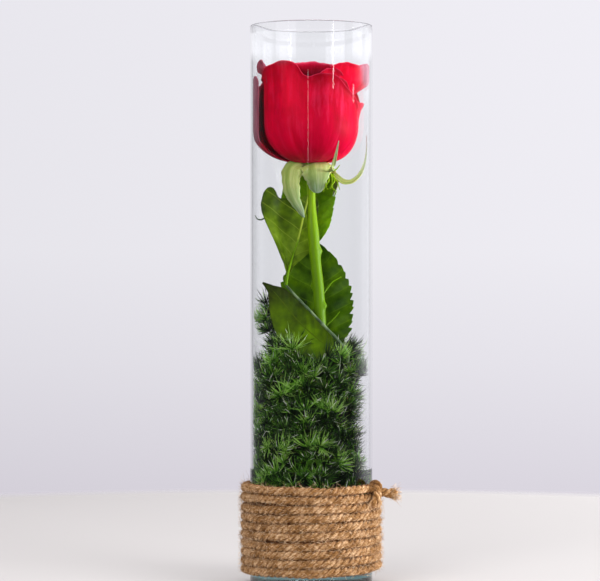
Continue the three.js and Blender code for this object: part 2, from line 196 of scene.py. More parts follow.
clear_glass, tree, shader = finish(
    "clear_glass", Base_Color=(0.985, 0.995, 0.993, 1), Roughness=0.0, IOR=GLASS_IOR, Transmission_Weight=1.0
)
let_lamps_through(tree, shader, (0.985, 0.993, 0.992))
depth = node(tree, "ShaderNodeVolumeAbsorption", {"Color": (0.3, 0.68, 0.74, 1), "Density": 3.4})
tree.links.new(depth.outputs[0], tree.nodes["Material Output"].inputs["Volume"])
foot_glass, tree, shader = finish(
    "foot_glass", Base_Color=(0.12, 0.23, 0.23, 1), Roughness=0.02, IOR=GLASS_IOR, Transmission_Weight=1.0
)
let_lamps_through(tree, shader, (0.93, 0.97, 0.97))
lip_glass, tree, shader = finish(
    "lip_glass", Base_Color=(0.72, 0.74, 0.76, 1), Roughness=0.1, IOR=GLASS_IOR, Transmission_Weight=0.72
)

half_wall = GLASS_WALL / 2
profile = [
    ([0, 20, 34], [0.9, 0.7, 0.2]),
    arc(GLASS_RADIUS - OUTER_CORNER, OUTER_CORNER, OUTER_CORNER, -90, 0),
    ([GLASS_RADIUS] * WALL_RINGS, np.linspace(WALL_LOW, WALL_HIGH, WALL_RINGS)),
    arc(GLASS_RADIUS - half_wall, GLASS_HEIGHT - half_wall, half_wall, 0, 180, 17),
    ([BORE] * WALL_RINGS, np.linspace(WALL_HIGH, GLASS_FOOT + 6, WALL_RINGS)),
    arc(BORE - INNER_CORNER, GLASS_FOOT + INNER_CORNER, INNER_CORNER, 0, -90),
    ([26, 14, 0], [GLASS_FOOT - 0.2, GLASS_FOOT - 0.4, GLASS_FOOT - 0.5]),
]
vase = stand("clear_vase", *turned(profile, GLASS_STEPS), clear_glass, ["glass_vase"], "glass", poles=True)
vase.data.materials.append(foot_glass)
vase.data.materials.append(lip_glass)
middles = np.empty(len(vase.data.polygons) * 3)
vase.data.polygons.foreach_get("center", middles)
level = middles.reshape(-1, 3)[:, 2] * 1000
glass_kind = np.where(level < FOOT_TINT_TOP, 1, 0) + np.where(level > GLASS_HEIGHT - LIP_TINT_DEPTH, 2, 0)
vase.data.polygons.foreach_set("material_index", glass_kind.astype(np.int32))

# ---------------------------------------------------------------------------------------------------
# Water: fills the foot of the glass and wets its wall, with a small meniscus at the edge. It reaches
# a tenth of a millimetre into the glass, so that light passes straight from one to the other.
# ---------------------------------------------------------------------------------------------------

WATER_LEVEL = 75.4
WET_RADIUS = BORE + 0.1
WET_CORNER = INNER_CORNER + 0.1
WATER_STEPS = 128

fresh_water, tree, shader = finish(
    "fresh_water", Base_Color=(0.96, 0.99, 0.98, 1), Roughness=0.0, IOR=1.333, Transmission_Weight=1.0
)
let_lamps_through(tree, shader, (0.95, 0.98, 0.97))

meniscus_in = np.array([0.0, 0.15, 0.5, 1.1, 2.0, 3.4, 5.5, 12, 24, 37.9])
meniscus_up = np.array([0.35, 0.26, 0.16, 0.09, 0.04, 0.02, 0, 0, 0, 0])
profile = [
    ([0, 20, 33], [GLASS_FOOT - 0.6, GLASS_FOOT - 0.5, GLASS_FOOT - 0.25]),
    arc(BORE - INNER_CORNER, GLASS_FOOT + INNER_CORNER, WET_CORNER, -90, 0),
    ([WET_RADIUS] * 6, np.linspace(14, WATER_LEVEL + 0.2, 6)),
    (WET_RADIUS - meniscus_in, WATER_LEVEL + meniscus_up),
]
stand("vase_water", *turned(profile, WATER_STEPS), fresh_water, ["water"], "water", poles=True)

# ---------------------------------------------------------------------------------------------------
# Jute rope: three hairy strands laid up to a 6 mm cord, ten turns pulled tight round the foot, hitched
# over the two top turns at the right and cut off with a frayed end.
# ---------------------------------------------------------------------------------------------------

ROPE_LINE, ROPE_PITCH, ROPE_TURNS, ROPE_END, ROPE_TOP = 43.15, 5.74, 9.67, 330.0, 64.3
ROPE_RADIUS, STRAND_OFFSET, STRAND_RADIUS, STRAND_SIDES, ROPE_LAY = 3.0, 1.45, 1.56, 10, 13.0
WINDING_STEPS, HITCH_STEPS, TAIL_STEPS, OPEN_OVER = 2150, 26, 24, 7
# Where a turn is pushed up or down by what it crosses: (millimetres, turns from the end, width in turns).
ROPE_LIFTS = ((2.1, 0.43, 0.17), (1.5, 1.36, 0.13), (0.5, 5.24, 0.1), (-0.5, 6.24, 0.1))
# The slow wander of a turn: (millimetres, waves a turn, start).
ROPE_SWAYS = ((0.22, 3.1, 1.3), (0.16, 7.3, 0.0), (0.1, 1.37, 0.0))
# Painted shade in the clefts between turns: how far up the cord it starts, over how much, how dark, and in
# how many patches along it.
CLEFT_FROM, CLEFT_OVER, CLEFT_DARK, CLEFT_SHADE_PATCHES = 0.6, 0.34, 0.46, 76
UV_STRETCH = (1, 0.3)


def unit(vectors):
    """Vectors over their length."""
    return vectors / np.maximum(np.linalg.norm(vectors, axis=-1, keepdims=True), 1e-12)


def along(points, shares):
    """Centripetal Catmull-Rom curve through points, read at shares of its length: cubic pieces whose
    slopes weigh the neighbouring chords by the root of their lengths."""
    p = np.asarray(points, float)
    p = np.vstack([2 * p[0] - p[1], p, 2 * p[-1] - p[-2]])
    chord = np.sqrt(np.linalg.norm(np.diff(p, axis=0), axis=1))[:, None]
    d0, d1, d2 = chord[:-2], chord[1:-1], chord[2:]
    a, b, c, d = p[:-3], p[1:-2], p[2:-1], p[3:]
    start = ((b - a) / d0 - (c - a) / (d0 + d1) + (c - b) / d1) * d1
    stop = ((c - b) / d1 - (d - b) / (d1 + d2) + (d - c) / d2) * d1
    t = np.linspace(0, 1, 60)[:, None, None]
    fine = (2 * t**3 - 3 * t**2 + 1) * b + (t**3 - 2 * t**2 + t) * start
    fine = fine + (3 * t**2 - 2 * t**3) * c + (t**3 - t**2) * stop
    fine = fine.transpose(1, 0, 2).reshape(-1, 3)
    length = np.concatenate([[0], np.cumsum(np.linalg.norm(np.diff(fine, axis=0), axis=1))])
    wanted = np.asarray(shares) * length[-1]
    return np.stack([np.interp(wanted, length, fine[:, k]) for k in range(3)], -1)


def tubes(paths, radii, sides, hint):
    """Closed tubes round many paths at once: ring point s is path + r (cos s side + sin s other), where
    side is square to the path and to hint. Gives points, faces and (round, along) of each point."""
    paths = np.asarray(paths, float)
    count, steps = paths.shape[:2]
    radii = np.broadcast_to(radii, (count, steps))
    tangent = unit(np.gradient(paths, axis=1))
    side = unit(np.cross(tangent, np.broadcast_to(hint, paths.shape)))
    other = np.cross(tangent, side)
    angle = np.linspace(0, 2 * np.pi, sides, endpoint=False)[:, None]
    ring = np.cos(angle) * side[:, :, None] + np.sin(angle) * other[:, :, None]
    points = paths[:, :, None] + radii[:, :, None, None] * ring
    number = np.arange(count * steps * sides).reshape(count, steps, sides)
    wrapped = np.concatenate([number, number[:, :, :1]], -1)
    walls = np.stack(
        [wrapped[:, :-1, :-1], wrapped[:, :-1, 1:], wrapped[:, 1:, 1:], wrapped[:, 1:, :-1]], -1
    ).reshape(-1, 4)
    caps = np.concatenate([number[:, 0, ::-1], number[:, -1]])
    length = np.cumsum(np.linalg.norm(np.diff(paths, axis=1, prepend=paths[:, :1]), axis=-1), 1)
    place = np.stack(np.broadcast_arrays(np.arange(sides)[None, None] / sides, length[:, :, None]), -1)
    return points, [walls, caps], place


def laid_rope(centre, out, open_up=0.0):
    """Paths of three strands round a centre line: strand k runs at the angle 2 pi (length / lay + k / 3)
    in the plane of out and the binormal; open_up spreads them towards the end."""
    tangent = unit(np.gradient(centre, axis=0))
    out = unit(out - (out * tangent).sum(1, keepdims=True) * tangent)
    other = np.cross(tangent, out)
    length = np.cumsum(np.linalg.norm(np.diff(centre, axis=0, prepend=centre[:1]), axis=1))
    turn = 2 * np.pi * (length[None] / ROPE_LAY + np.arange(3)[:, None] / 3)[:, :, None]
    spread = STRAND_OFFSET * (
        1 + open_up * np.clip((length - length[-1] + OPEN_OVER) / OPEN_OVER, 0, 1) ** 2
    )[:, None]
    return centre + spread * (np.cos(turn) * out - np.sin(turn) * other)


def joined(shapes):
    """Several (points, faces) as one: their points stacked, and their faces' numbers moved on by them."""
    points, faces, first = [], [], 0
    for grid, parts in shapes:
        points.append(grid.reshape(-1, 3))
        faces += [part + first for part in parts]
        first += len(points[-1])
    return np.concatenate(points), faces


def maths(tree, operation, *values):
    """The outcome of one sum on numbers or other nodes' outputs."""
    return node(tree, "ShaderNodeMath", dict(enumerate(values)), operation=operation).outputs[0]


def noise(tree, place, scale, **settings):
    """Cloudy noise from 0 to 1, read at place times scale."""
    return node(tree, "ShaderNodeTexNoise", {"Vector": place, "Scale": scale, **settings}).outputs["Fac"]


def on_surface(tree, scale=None):
    """The piece's own map, across and along it, stretched by scale."""
    place = node(tree, "ShaderNodeUVMap", uv_map="surface").outputs[0]
    return node(tree, "ShaderNodeMapping", {"Vector": place, "Scale": scale}).outputs[0] if scale else place


def in_body(tree):
    """The place in the solid, in metres."""
    return node(tree, "ShaderNodeTexCoord").outputs["Object"]


def blend(tree, factor, first, second, way="MIX"):
    """Colour first turned into second by a factor or, with way MULTIPLY, into their product."""
    made = node(tree, "ShaderNodeMix", {0: factor, 6: first, 7: second}, data_type="RGBA", blend_type=way)
    return made.outputs[2]


def times(tree, colour, *tones):
    """Colour times each of the tones."""
    for tone in tones:
        colour = blend(tree, 1.0, colour, tone, "MULTIPLY")
    return colour


def shade_of(tree):
    """The tone that the mesh carries at each point."""
    return node(tree, "ShaderNodeAttribute", attribute_name="shade").outputs["Fac"]


def paint(tree, shader, colour, relief=None, strength=1.0, height=0.0):
    """Gives a shader its colour and, from relief, a bump of a strength and a height in metres."""
    tree.links.new(colour, shader.inputs["Base Color"])
    if relief is not None:
        bump = node(tree, "ShaderNodeBump", {"Strength": strength, "Distance": height, "Height": relief})
        tree.links.new(bump.outputs[0], shader.inputs["Normal"])


def round_axis(radius, degrees, z):
    """Points at a distance from the vase's axis, a compass angle and a height."""
    turn = np.radians(degrees)
    return np.stack(np.broadcast_arrays(radius * np.cos(turn), radius * np.sin(turn), z), -1)


back = np.linspace(ROPE_TURNS, 0, WINDING_STEPS)
bearing = ROPE_END - 360 * back
angle = np.radians(bearing)
rise = sum(high * np.exp(-(((back - at) / wide) ** 2)) for high, at, wide in ROPE_LIFTS)
sway = sum(high * np.sin(often * angle + start) for high, often, start in ROPE_SWAYS)
level = ROPE_TOP - ROPE_PITCH * back + rise + sway
winding = round_axis(ROPE_LINE + 0.12 * np.sin(5.7 * angle), bearing, level)
outward = winding * (1, 1, 0)
# The hitch: each point's distance from the axis, compass angle and height.
HITCH = [
    (43.6, 340, 62.5), (44.4, 335, 66.4), (48.4, 332, 66.2), (49.3, 330, 61), (48.8, 328.5, 56.5),
    (45.4, 328, 53.4), (43.0, 329, 52.6),
]
hitch = along([round_axis(*point) for point in HITCH], np.linspace(0, 1, HITCH_STEPS))
tail = along(
    [(36.2, -21.5, 64.2), (41.5, -22.8, 63.4), (45, -22.6, 62.2), (49.5, -21.8, 61.2), (54.0, -20.8, 60.8)],
    np.linspace(0, 1, TAIL_STEPS),
)
# Each cord: its line, its strands and whether it is wound round the foot.
cords = [
    (winding, laid_rope(winding, outward), True),
    (hitch, laid_rope(hitch, hitch * (1, 1, 0) - (60, -40, 0)), False),
    (tail, laid_rope(tail, np.broadcast_to((0.0, -1.0, 0.2), tail.shape), open_up=0.9), False),
]

jute, tree, shader = finish(
    "jute", Roughness=0.95, Sheen_Weight=0.1, Sheen_Roughness=0.6, Sheen_Tint=(0.9, 0.75, 0.55, 1),
    Specular_IOR_Level=0.15,
)
fibre = noise(tree, on_surface(tree, (6.0, 1.1, 1)), 1.0, Detail=7.0, Roughness=0.85, Distortion=0.6)
blotch = noise(tree, in_body(tree), 110.0, Detail=4.0, Roughness=0.65)
colour = ramp(
    tree,
    maths(tree, "MULTIPLY_ADD", blotch, 0.34, maths(tree, "MULTIPLY", fibre, 0.66)),
    [
        (0.37, (0.06, 0.02, 0.004)), (0.45, (0.18, 0.078, 0.02)), (0.51, (0.32, 0.155, 0.048)),
        (0.6, (0.78, 0.54, 0.33)),
    ],
)
# Painted shade: the rope darkens where its surface lies nearer the cord's centre, in the valleys between
# strands, and in the clefts between turns.
groove = ramp(tree, shade_of(tree), [(0.45, (0.3, 0.15, 0.06)), (0.72, (0.72, 0.6, 0.46)), (0.9, (1, 1, 1))])
paint(tree, shader, times(tree, colour, groove), fibre, 1.0, 0.0009)

strands, places, painted_groove_shade = [], [], []
bumps = np.random.default_rng(12)
cleft_shade_draw = np.random.default_rng(5)
for centre, paths, wound in cords:
    steps = len(centre)
    rough = np.convolve(bumps.normal(size=3 * steps + 4), np.ones(5) / 5, "valid").reshape(3, steps)
    hint = (0.0, 0.0, 1.0) if wound else (0.3, 0.8, 0.1)
    grid, parts, where = tubes(paths, STRAND_RADIUS + 0.14 * rough, STRAND_SIDES, hint)
    middle = grid.mean(2, keepdims=True)
    grid = middle + (grid - middle) * (1 + 0.05 * bumps.normal(size=(3, steps, STRAND_SIDES, 1)))
    # Painted shade: each point's tone falls as it nears the cord's centre, and falls further, in patches, at
    # the clefts between wound turns.
    off_centre = (grid - centre[None, :, None]) / ROPE_RADIUS
    cleft = np.clip((np.abs(off_centre[..., 2]) - CLEFT_FROM) / CLEFT_OVER, 0, 1) * wound
    cleft_shade_strength = cleft_shade_draw.uniform(0.25, 1.0, CLEFT_SHADE_PATCHES)
    patch = np.interp(np.linspace(0, CLEFT_SHADE_PATCHES - 1, steps), np.arange(CLEFT_SHADE_PATCHES), cleft_shade_strength)[None, :, None]
    painted_groove_shade.append((np.linalg.norm(off_centre, axis=-1) - CLEFT_DARK * cleft * patch).ravel())
    places.append(where.reshape(-1, 2))
    strands.append((grid, parts))
stand(
    "laid_jute_rope", *joined(strands), jute, ["jute_rope"], "jute",
    uv=np.concatenate(places) * UV_STRETCH, shade=np.concatenate(painted_groove_shade),
)

# ---------------------------------------------------------------------------------------------------
# Groove fuzz: matted fibre at the bottom of the groove between two turns of the rope, toned dark as painted
# shade for the groove. It follows the line half way between a turn and the next, close to the glass.
# ---------------------------------------------------------------------------------------------------

FUZZ_LINE, FUZZ_RADIUS = 41.8, 0.7

matted = np.linspace(ROPE_TURNS - 1.02, 0.02, 900)
turn_below, turn_above = (np.interp(matted + one, back[::-1], winding[::-1, 2]) for one in (1, 0))
bearing = ROPE_END - 360 * matted
groove_line = round_axis(FUZZ_LINE, bearing, (turn_below + turn_above) / 2)
thick = FUZZ_RADIUS + 0.12 * np.sin(37 * np.radians(bearing))
grid, parts, where = tubes(groove_line[None], thick[None], 8, (0.0, 0.0, 1.0))
# Its fixed tone of 0.5 on the jute's groove ramp makes it dark brown: painted shade.
stand(
    "groove_shade_fuzz", grid, parts, jute, ["jute_rope"], "jute",
    uv=where.reshape(-1, 2) * UV_STRETCH, shade=np.full(grid.size // 3, 0.5),
)

# ---------------------------------------------------------------------------------------------------
# Jute hairs: loose fibres that stand off the cord all over, and the splayed pale ends of its tail.
# ---------------------------------------------------------------------------------------------------

HAIRS, FRAYED_HAIRS, HAIR_ROOT, HAIR_RADIUS = 7000, 420, 2.75, 0.105
HAIR_SOFT, HAIR_LIMIT, HAIR_LOWEST, HAIR_SAG, TAIL_END = 47.4, 48.4, 9.0, 1.2, 58.6

draw = np.random.default_rng(31)


def hairs(roots, leaning, length, radius, droop=0.0):
    """Fine curved fibres: root + s L direction + s^2 L bend, s from 0 to 1, drawn out to a point."""
    count = len(roots)
    s = np.linspace(0, 1, 5)[None, :, None]
    bend = 0.45 * draw.normal(size=(count, 3)) + (0, 0, -droop)
    paths = roots[:, None] + length[:, None, None] * (s * unit(leaning)[:, None] + s**2 * bend[:, None])
    thick = radius * np.linspace(1, 0.35, 5)[None]
    return tubes(paths, thick, 3, (0.31, 0.17, 0.93))


def pressed(points, soft, limit):
    """Presses points that reach past the radius soft against a cylinder: what is past it nears the limit
    as 1 - exp(-(r - soft) / room), where room is limit - soft."""
    far = np.hypot(points[..., 0], points[..., 1])
    room = limit - soft
    held = np.where(far > soft, soft + room * (1 - np.exp(-(far - soft) / room)), far)
    scale = held / np.maximum(far, 1e-6)
    return points * np.stack([scale, scale, np.ones_like(scale)], -1)


pick = draw.integers(20, len(winding) - 20, HAIRS)
spin = draw.uniform(0, 2 * np.pi, HAIRS)[:, None]
out = unit(outward[pick])
flow = unit(winding[pick + 3] - winding[pick - 3])
skyward = np.cross(flow, out)
facing = unit(np.abs(np.cos(spin)) * out + np.sin(spin) * 0.9 * skyward)
roots = winding[pick] + HAIR_ROOT * facing
leaning = draw.uniform(0.05, 0.7, (HAIRS, 1)) * facing
leaning = leaning + flow * draw.choice([-1, 1], (HAIRS, 1)) * draw.uniform(0.3, 1.4, (HAIRS, 1))
leaning = leaning + 0.5 * draw.normal(size=(HAIRS, 1)) * skyward
grid, loose_faces, _ = hairs(roots, leaning, draw.uniform(1.8, 5.4, HAIRS), HAIR_RADIUS)
loose = pressed(grid, HAIR_SOFT, HAIR_LIMIT)
under = np.clip(HAIR_LOWEST - loose[..., 2], 0, None)
loose[..., 2] = np.maximum(loose[..., 2], HAIR_LOWEST) - HAIR_SAG * (1 - np.exp(-under / HAIR_SAG))

end = tail[-1]
reach = unit(tail[-1] - tail[-4])
spray = unit(reach * 2.2 + 0.75 * draw.normal(size=(FRAYED_HAIRS, 3)))
roots = end - reach * draw.uniform(0.2, 3.5, (FRAYED_HAIRS, 1))
roots = roots + 1.6 * draw.normal(size=(FRAYED_HAIRS, 3)) * (0.5, 1, 1)
grid, frayed_faces, _ = hairs(roots, spray, draw.uniform(2.0, 4.6, FRAYED_HAIRS), 0.1, droop=0.15)
frayed = np.minimum(grid, (TAIL_END, np.inf, np.inf))

straw, tree, shader = finish("jute_hair", Roughness=0.8)
colour = ramp(
    tree,
    noise(tree, in_body(tree), 400.0),
    [(0.4, (0.22, 0.11, 0.045)), (0.5, (0.5, 0.3, 0.15)), (0.62, (0.8, 0.58, 0.36))],
)
paint(tree, shader, colour)
stand("jute_fuzz", loose, loose_faces, straw, ["jute_rope"], "jute")
stand("frayed_end", frayed, frayed_faces, straw, ["jute_rope"], "jute")

# ---------------------------------------------------------------------------------------------------
# Rose stem: a smooth fleshy green cane, bowed and leaning, with low scars where thorns were taken off.
# ---------------------------------------------------------------------------------------------------

STEM_LINE = [
    (9.2, -3, 13), (8.4, -3, 60), (7.4, -3, 100), (6.5, -2.6, 140), (5.4, -2.2, 178), (4.6, -2, 194),
    (3.0, -2, 209), (1.7, -2, 224), (0.6, -1.8, 239), (0.3, -1.4, 255), (0.9, -0.3, 269),
]
STEM_LENGTH, STEM_RINGS, STEM_SIDES = 253, 260, 40
# Each scar: its share of the stem's length and its compass angle.
SCARS = ((0.5, -150), (0.66, -20), (0.71, 160), (0.8, 5), (0.87, 100))


def span(tree, value, low, high, first=0.0, last=1.0):
    """Value from low to high, spread over first to last."""
    settings = {"Value": value, "From Min": low, "From Max": high, "To Min": first, "To Max": last}
    return node(tree, "ShaderNodeMapRange", settings).outputs[0]


def xyz(tree, place):
    """The X, Y and Z of a place."""
    return node(tree, "ShaderNodeSeparateXYZ", {"Vector": place}).outputs


cane, tree, shader = finish(
    "green_cane", Roughness=0.42, Subsurface_Weight=0.12, Subsurface_Scale=0.004,
    Subsurface_Radius=(0.5, 1.0, 0.2), Specular_IOR_Level=0.1,
)
solid = in_body(tree)
long = node(tree, "ShaderNodeMapping", {"Vector": solid, "Scale": (420, 420, 26)}).outputs[0]
streak = noise(tree, long, 1.0, Detail=4.0, Roughness=0.6)
green = ramp(
    tree,
    span(tree, xyz(tree, solid)["Z"], 0.12, 0.27),
    [
        (0.0, (0.07, 0.15, 0.0)), (0.45, (0.125, 0.255, 0.0)), (0.75, (0.19, 0.35, 0.0)),
        (1.0, (0.3, 0.48, 0.003)),
    ],
)
dark = ramp(tree, streak, [(0.3, (0.62, 0.7, 0.45)), (0.6, (1, 1, 1)), (0.8, (1.0, 1.0, 0.5))])
paint(tree, shader, blend(tree, 0.8, green, dark, "MULTIPLY"), streak, 0.35, 0.0004)

share = np.linspace(0, 1, STEM_RINGS)
line = along(STEM_LINE, share)
angle = np.linspace(0, 2 * np.pi, STEM_SIDES, endpoint=False)
thick = 3.65 + 0.1 * np.sin(share * 31) + 0.4 * np.exp(-(((share - 0.62) / 0.02) ** 2))
thick = thick - 1.2 * (1 - np.cos(np.pi * np.clip((share - 0.84) / 0.1, 0, 1))) / 2
thick = thick + 1.6 * np.clip(share - 0.96, 0, 1) / 0.04
ridges = np.repeat(0.05 * np.cos(5 * angle)[None], STEM_RINGS, 0)
for at_share, degrees in SCARS:
    away = np.angle(np.exp(1j * (angle - math.radians(degrees))))
    ridges += 1.5 * np.exp(-(((share[:, None] - at_share) * STEM_LENGTH / 2.3) ** 2) - (away / 0.38) ** 2)
spoke = np.stack([np.cos(angle), np.sin(angle), np.zeros(STEM_SIDES)], -1)
grid, walls = surface(line[:, None] + (thick[:, None] + ridges)[:, :, None] * spoke, around=True)
rim = np.arange(STEM_SIDES)[None]
ends = [rim[:, ::-1], (STEM_RINGS - 1) * STEM_SIDES + rim]
stand("rose_cane", grid, walls + ends, cane, ["rose_stem"], "stem")

# ---------------------------------------------------------------------------------------------------
# Rose leaves: thin, toothed, folded along a pale midrib with arched side veins, each on its stalk:
# one behind the top of the stem, one behind its foot, and a two-leaflet leaf whose stalk crosses it.
# ---------------------------------------------------------------------------------------------------


def softened(values, window):
    """Values smoothed along their row by a bell as wide as the window, with their ends held."""
    bell = np.hanning(window)
    return np.convolve(np.pad(values, window // 2 - 1, mode="edge"), bell[1:-1] / bell.sum(), "valid")


def ribbed(rib, facing, shares):
    """A midrib's points, the way across it and the way out of its sheet, at shares of its length."""
    line = along(rib, shares)
    tangent = unit(np.gradient(line, axis=0))
    across = unit(np.cross(facing, tangent))
    return line[:, None], across[:, None], np.cross(tangent, across)[:, None]


def blade(
    rib, facing, left, right, fold, teeth=16, bite=0.07, rows=170, columns=61, wave=0.5, crease=(),
    quilt=0.3, cap=None,
):
    """Blade round a midrib: rib(t) + w u cos(fold) across + w |u| sin(fold) normal. w is the half width of
    its left or right side, drawn through (t, width) pairs and notched by saw teeth, each tooth
    (1 - share)^1.4 deep. A slow wave of the margin, creases exp(-(du / width)^2) and quilting between the
    side veins bend it, and cap, drawn through (u, share) pairs, says how far up its midrib each lengthwise
    strip reaches."""
    t, u = np.linspace(0, 1, rows)[:, None], np.linspace(-1, 1, columns)[None]
    line, across, normal = ribbed(rib, facing, t[:, 0])
    sides = [softened(np.interp(t[:, 0], *np.array(side).T), 9)[:, None] for side in (left, right)]
    saw = (t * teeth) % 1.0
    uneven = 1 + 0.6 * np.sin(9.7 * np.floor(t * teeth))
    tooth = 1 - bite * (1 - saw) ** 1.4 * uneven * np.sin(np.pi * t) ** 0.3
    off = np.abs(u)
    edge = off**6
    reach = np.where(u > 0, *sides) * (1 + (tooth - 1) * edge)
    fold = math.radians(fold)
    lift = reach * off * math.sin(fold)
    lift = lift + wave * np.sin(2 * np.pi * (t * 2.6 + 0.2 * np.sign(u))) * edge**0.4
    lift = lift + quilt * np.cos(2 * np.pi * (t * 8 - 1.1 * off)) * (off * (1 - off)) * 2
    for at_share, wide, deep in crease:
        lift = lift + deep * np.exp(-(((u - at_share) / wide) ** 2)) * np.sin(np.pi * t) ** 0.5
    grid = line + (reach * u * math.cos(fold))[..., None] * across + lift[..., None] * normal
    place = np.stack(np.broadcast_arrays(u * 0.5 + 0.5, t), -1)
    if cap is not None:
        at_row = t * np.interp(u, *np.array(cap).T) * (rows - 1)
        low = np.minimum(at_row.astype(int), rows - 2)
        part, strip = (at_row - low)[..., None], np.arange(columns)[None]
        grid = grid[low, strip] * (1 - part) + grid[low + 1, strip] * part
        place = place[low, strip] * (1 - part) + place[low + 1, strip] * part
    return grid, place


def leaf_finish(name, shadow, body, light, vein_colour, gloss, foot=(1, 1, 1), tip=(1, 1, 1)):
    """Leaf green in three tones from a slow noise, times a tone that runs from the blade's foot to its tip,
    lighter at the foot and darker at the tip, partly the leaf's own colour and partly painted light, with a
    pale midrib and side veins read off the blade's own map: the midrib is where u is 0.5, and side veins are
    where 8 v - 2.2 |u - 0.5| is a whole number."""
    material, tree, shader = finish(
        name, Roughness=gloss, Subsurface_Weight=0.1, Subsurface_Scale=0.003,
        Subsurface_Radius=(0.6, 1.0, 0.2), Specular_IOR_Level=0.07,
    )
    split = xyz(tree, on_surface(tree))
    off = maths(tree, "ABSOLUTE", maths(tree, "SUBTRACT", split["X"], 0.5))
    slant = maths(tree, "MULTIPLY_ADD", off, -2.2, maths(tree, "MULTIPLY", split["Y"], 8.0))
    part = maths(tree, "ABSOLUTE", maths(tree, "SUBTRACT", maths(tree, "FRACT", slant), 0.5))
    side = span(tree, part, 0.455, 0.5, 0.0, 0.36)
    ribs = maths(tree, "MAXIMUM", side, span(tree, off, 0.022, 0.006))
    solid = in_body(tree)
    net = node(tree, "ShaderNodeTexVoronoi", {"Vector": solid, "Scale": 900.0}, feature="DISTANCE_TO_EDGE")
    green = ramp(tree, noise(tree, solid, 65.0, Detail=4.0), [(0.35, shadow), (0.5, body), (0.68, light)])
    fine = noise(tree, solid, 260.0, Detail=3.0)
    mottle = ramp(tree, fine, [(0.34, (0.87, 0.88, 0.82)), (0.52, (1, 1, 1)), (0.68, (1.07, 1.05, 1))])
    # Foot lighter, tip darker: partly the leaf's own colour, partly painted light.
    half_way = tuple((a + b) / 2 for a, b in zip(foot, tip))
    length = ramp(tree, split["Y"], [(0.15, foot), (0.55, half_way), (0.8, tip)])
    green = times(tree, green, mottle, length)
    raised = maths(tree, "MULTIPLY_ADD", net.outputs["Distance"], 0.5, ribs)
    paint(tree, shader, blend(tree, ribs, green, (*vein_colour, 1)), raised, 0.4, 0.0004)
    return material


dark_leaf = leaf_finish(
    "dark_leaf", (0.016, 0.04, 0.0), (0.043, 0.1, 0.0), (0.1, 0.2, 0.0), (0.15, 0.27, 0.008), 0.42
)
olive_leaf = leaf_finish(
    "olive_leaf", (0.022, 0.034, 0.0), (0.038, 0.066, 0.0), (0.065, 0.115, 0.0), (0.07, 0.115, 0.0), 0.5,
    (2.3, 2.6, 1), (0.8, 0.75, 1),
)
fresh_leaf = leaf_finish(
    "fresh_leaf", (0.06, 0.14, 0.0), (0.14, 0.29, 0.0), (0.23, 0.42, 0.002), (0.26, 0.45, 0.02), 0.45,
    (1.15, 1.15, 1), (0.75, 0.78, 1),
)
light_leaf = leaf_finish(
    "light_leaf", (0.036, 0.068, 0.0), (0.085, 0.155, 0.001), (0.16, 0.26, 0.012), (0.4, 0.5, 0.05), 0.48,
    (1.25, 1.2, 1.6), (0.85, 0.85, 0.4),
)

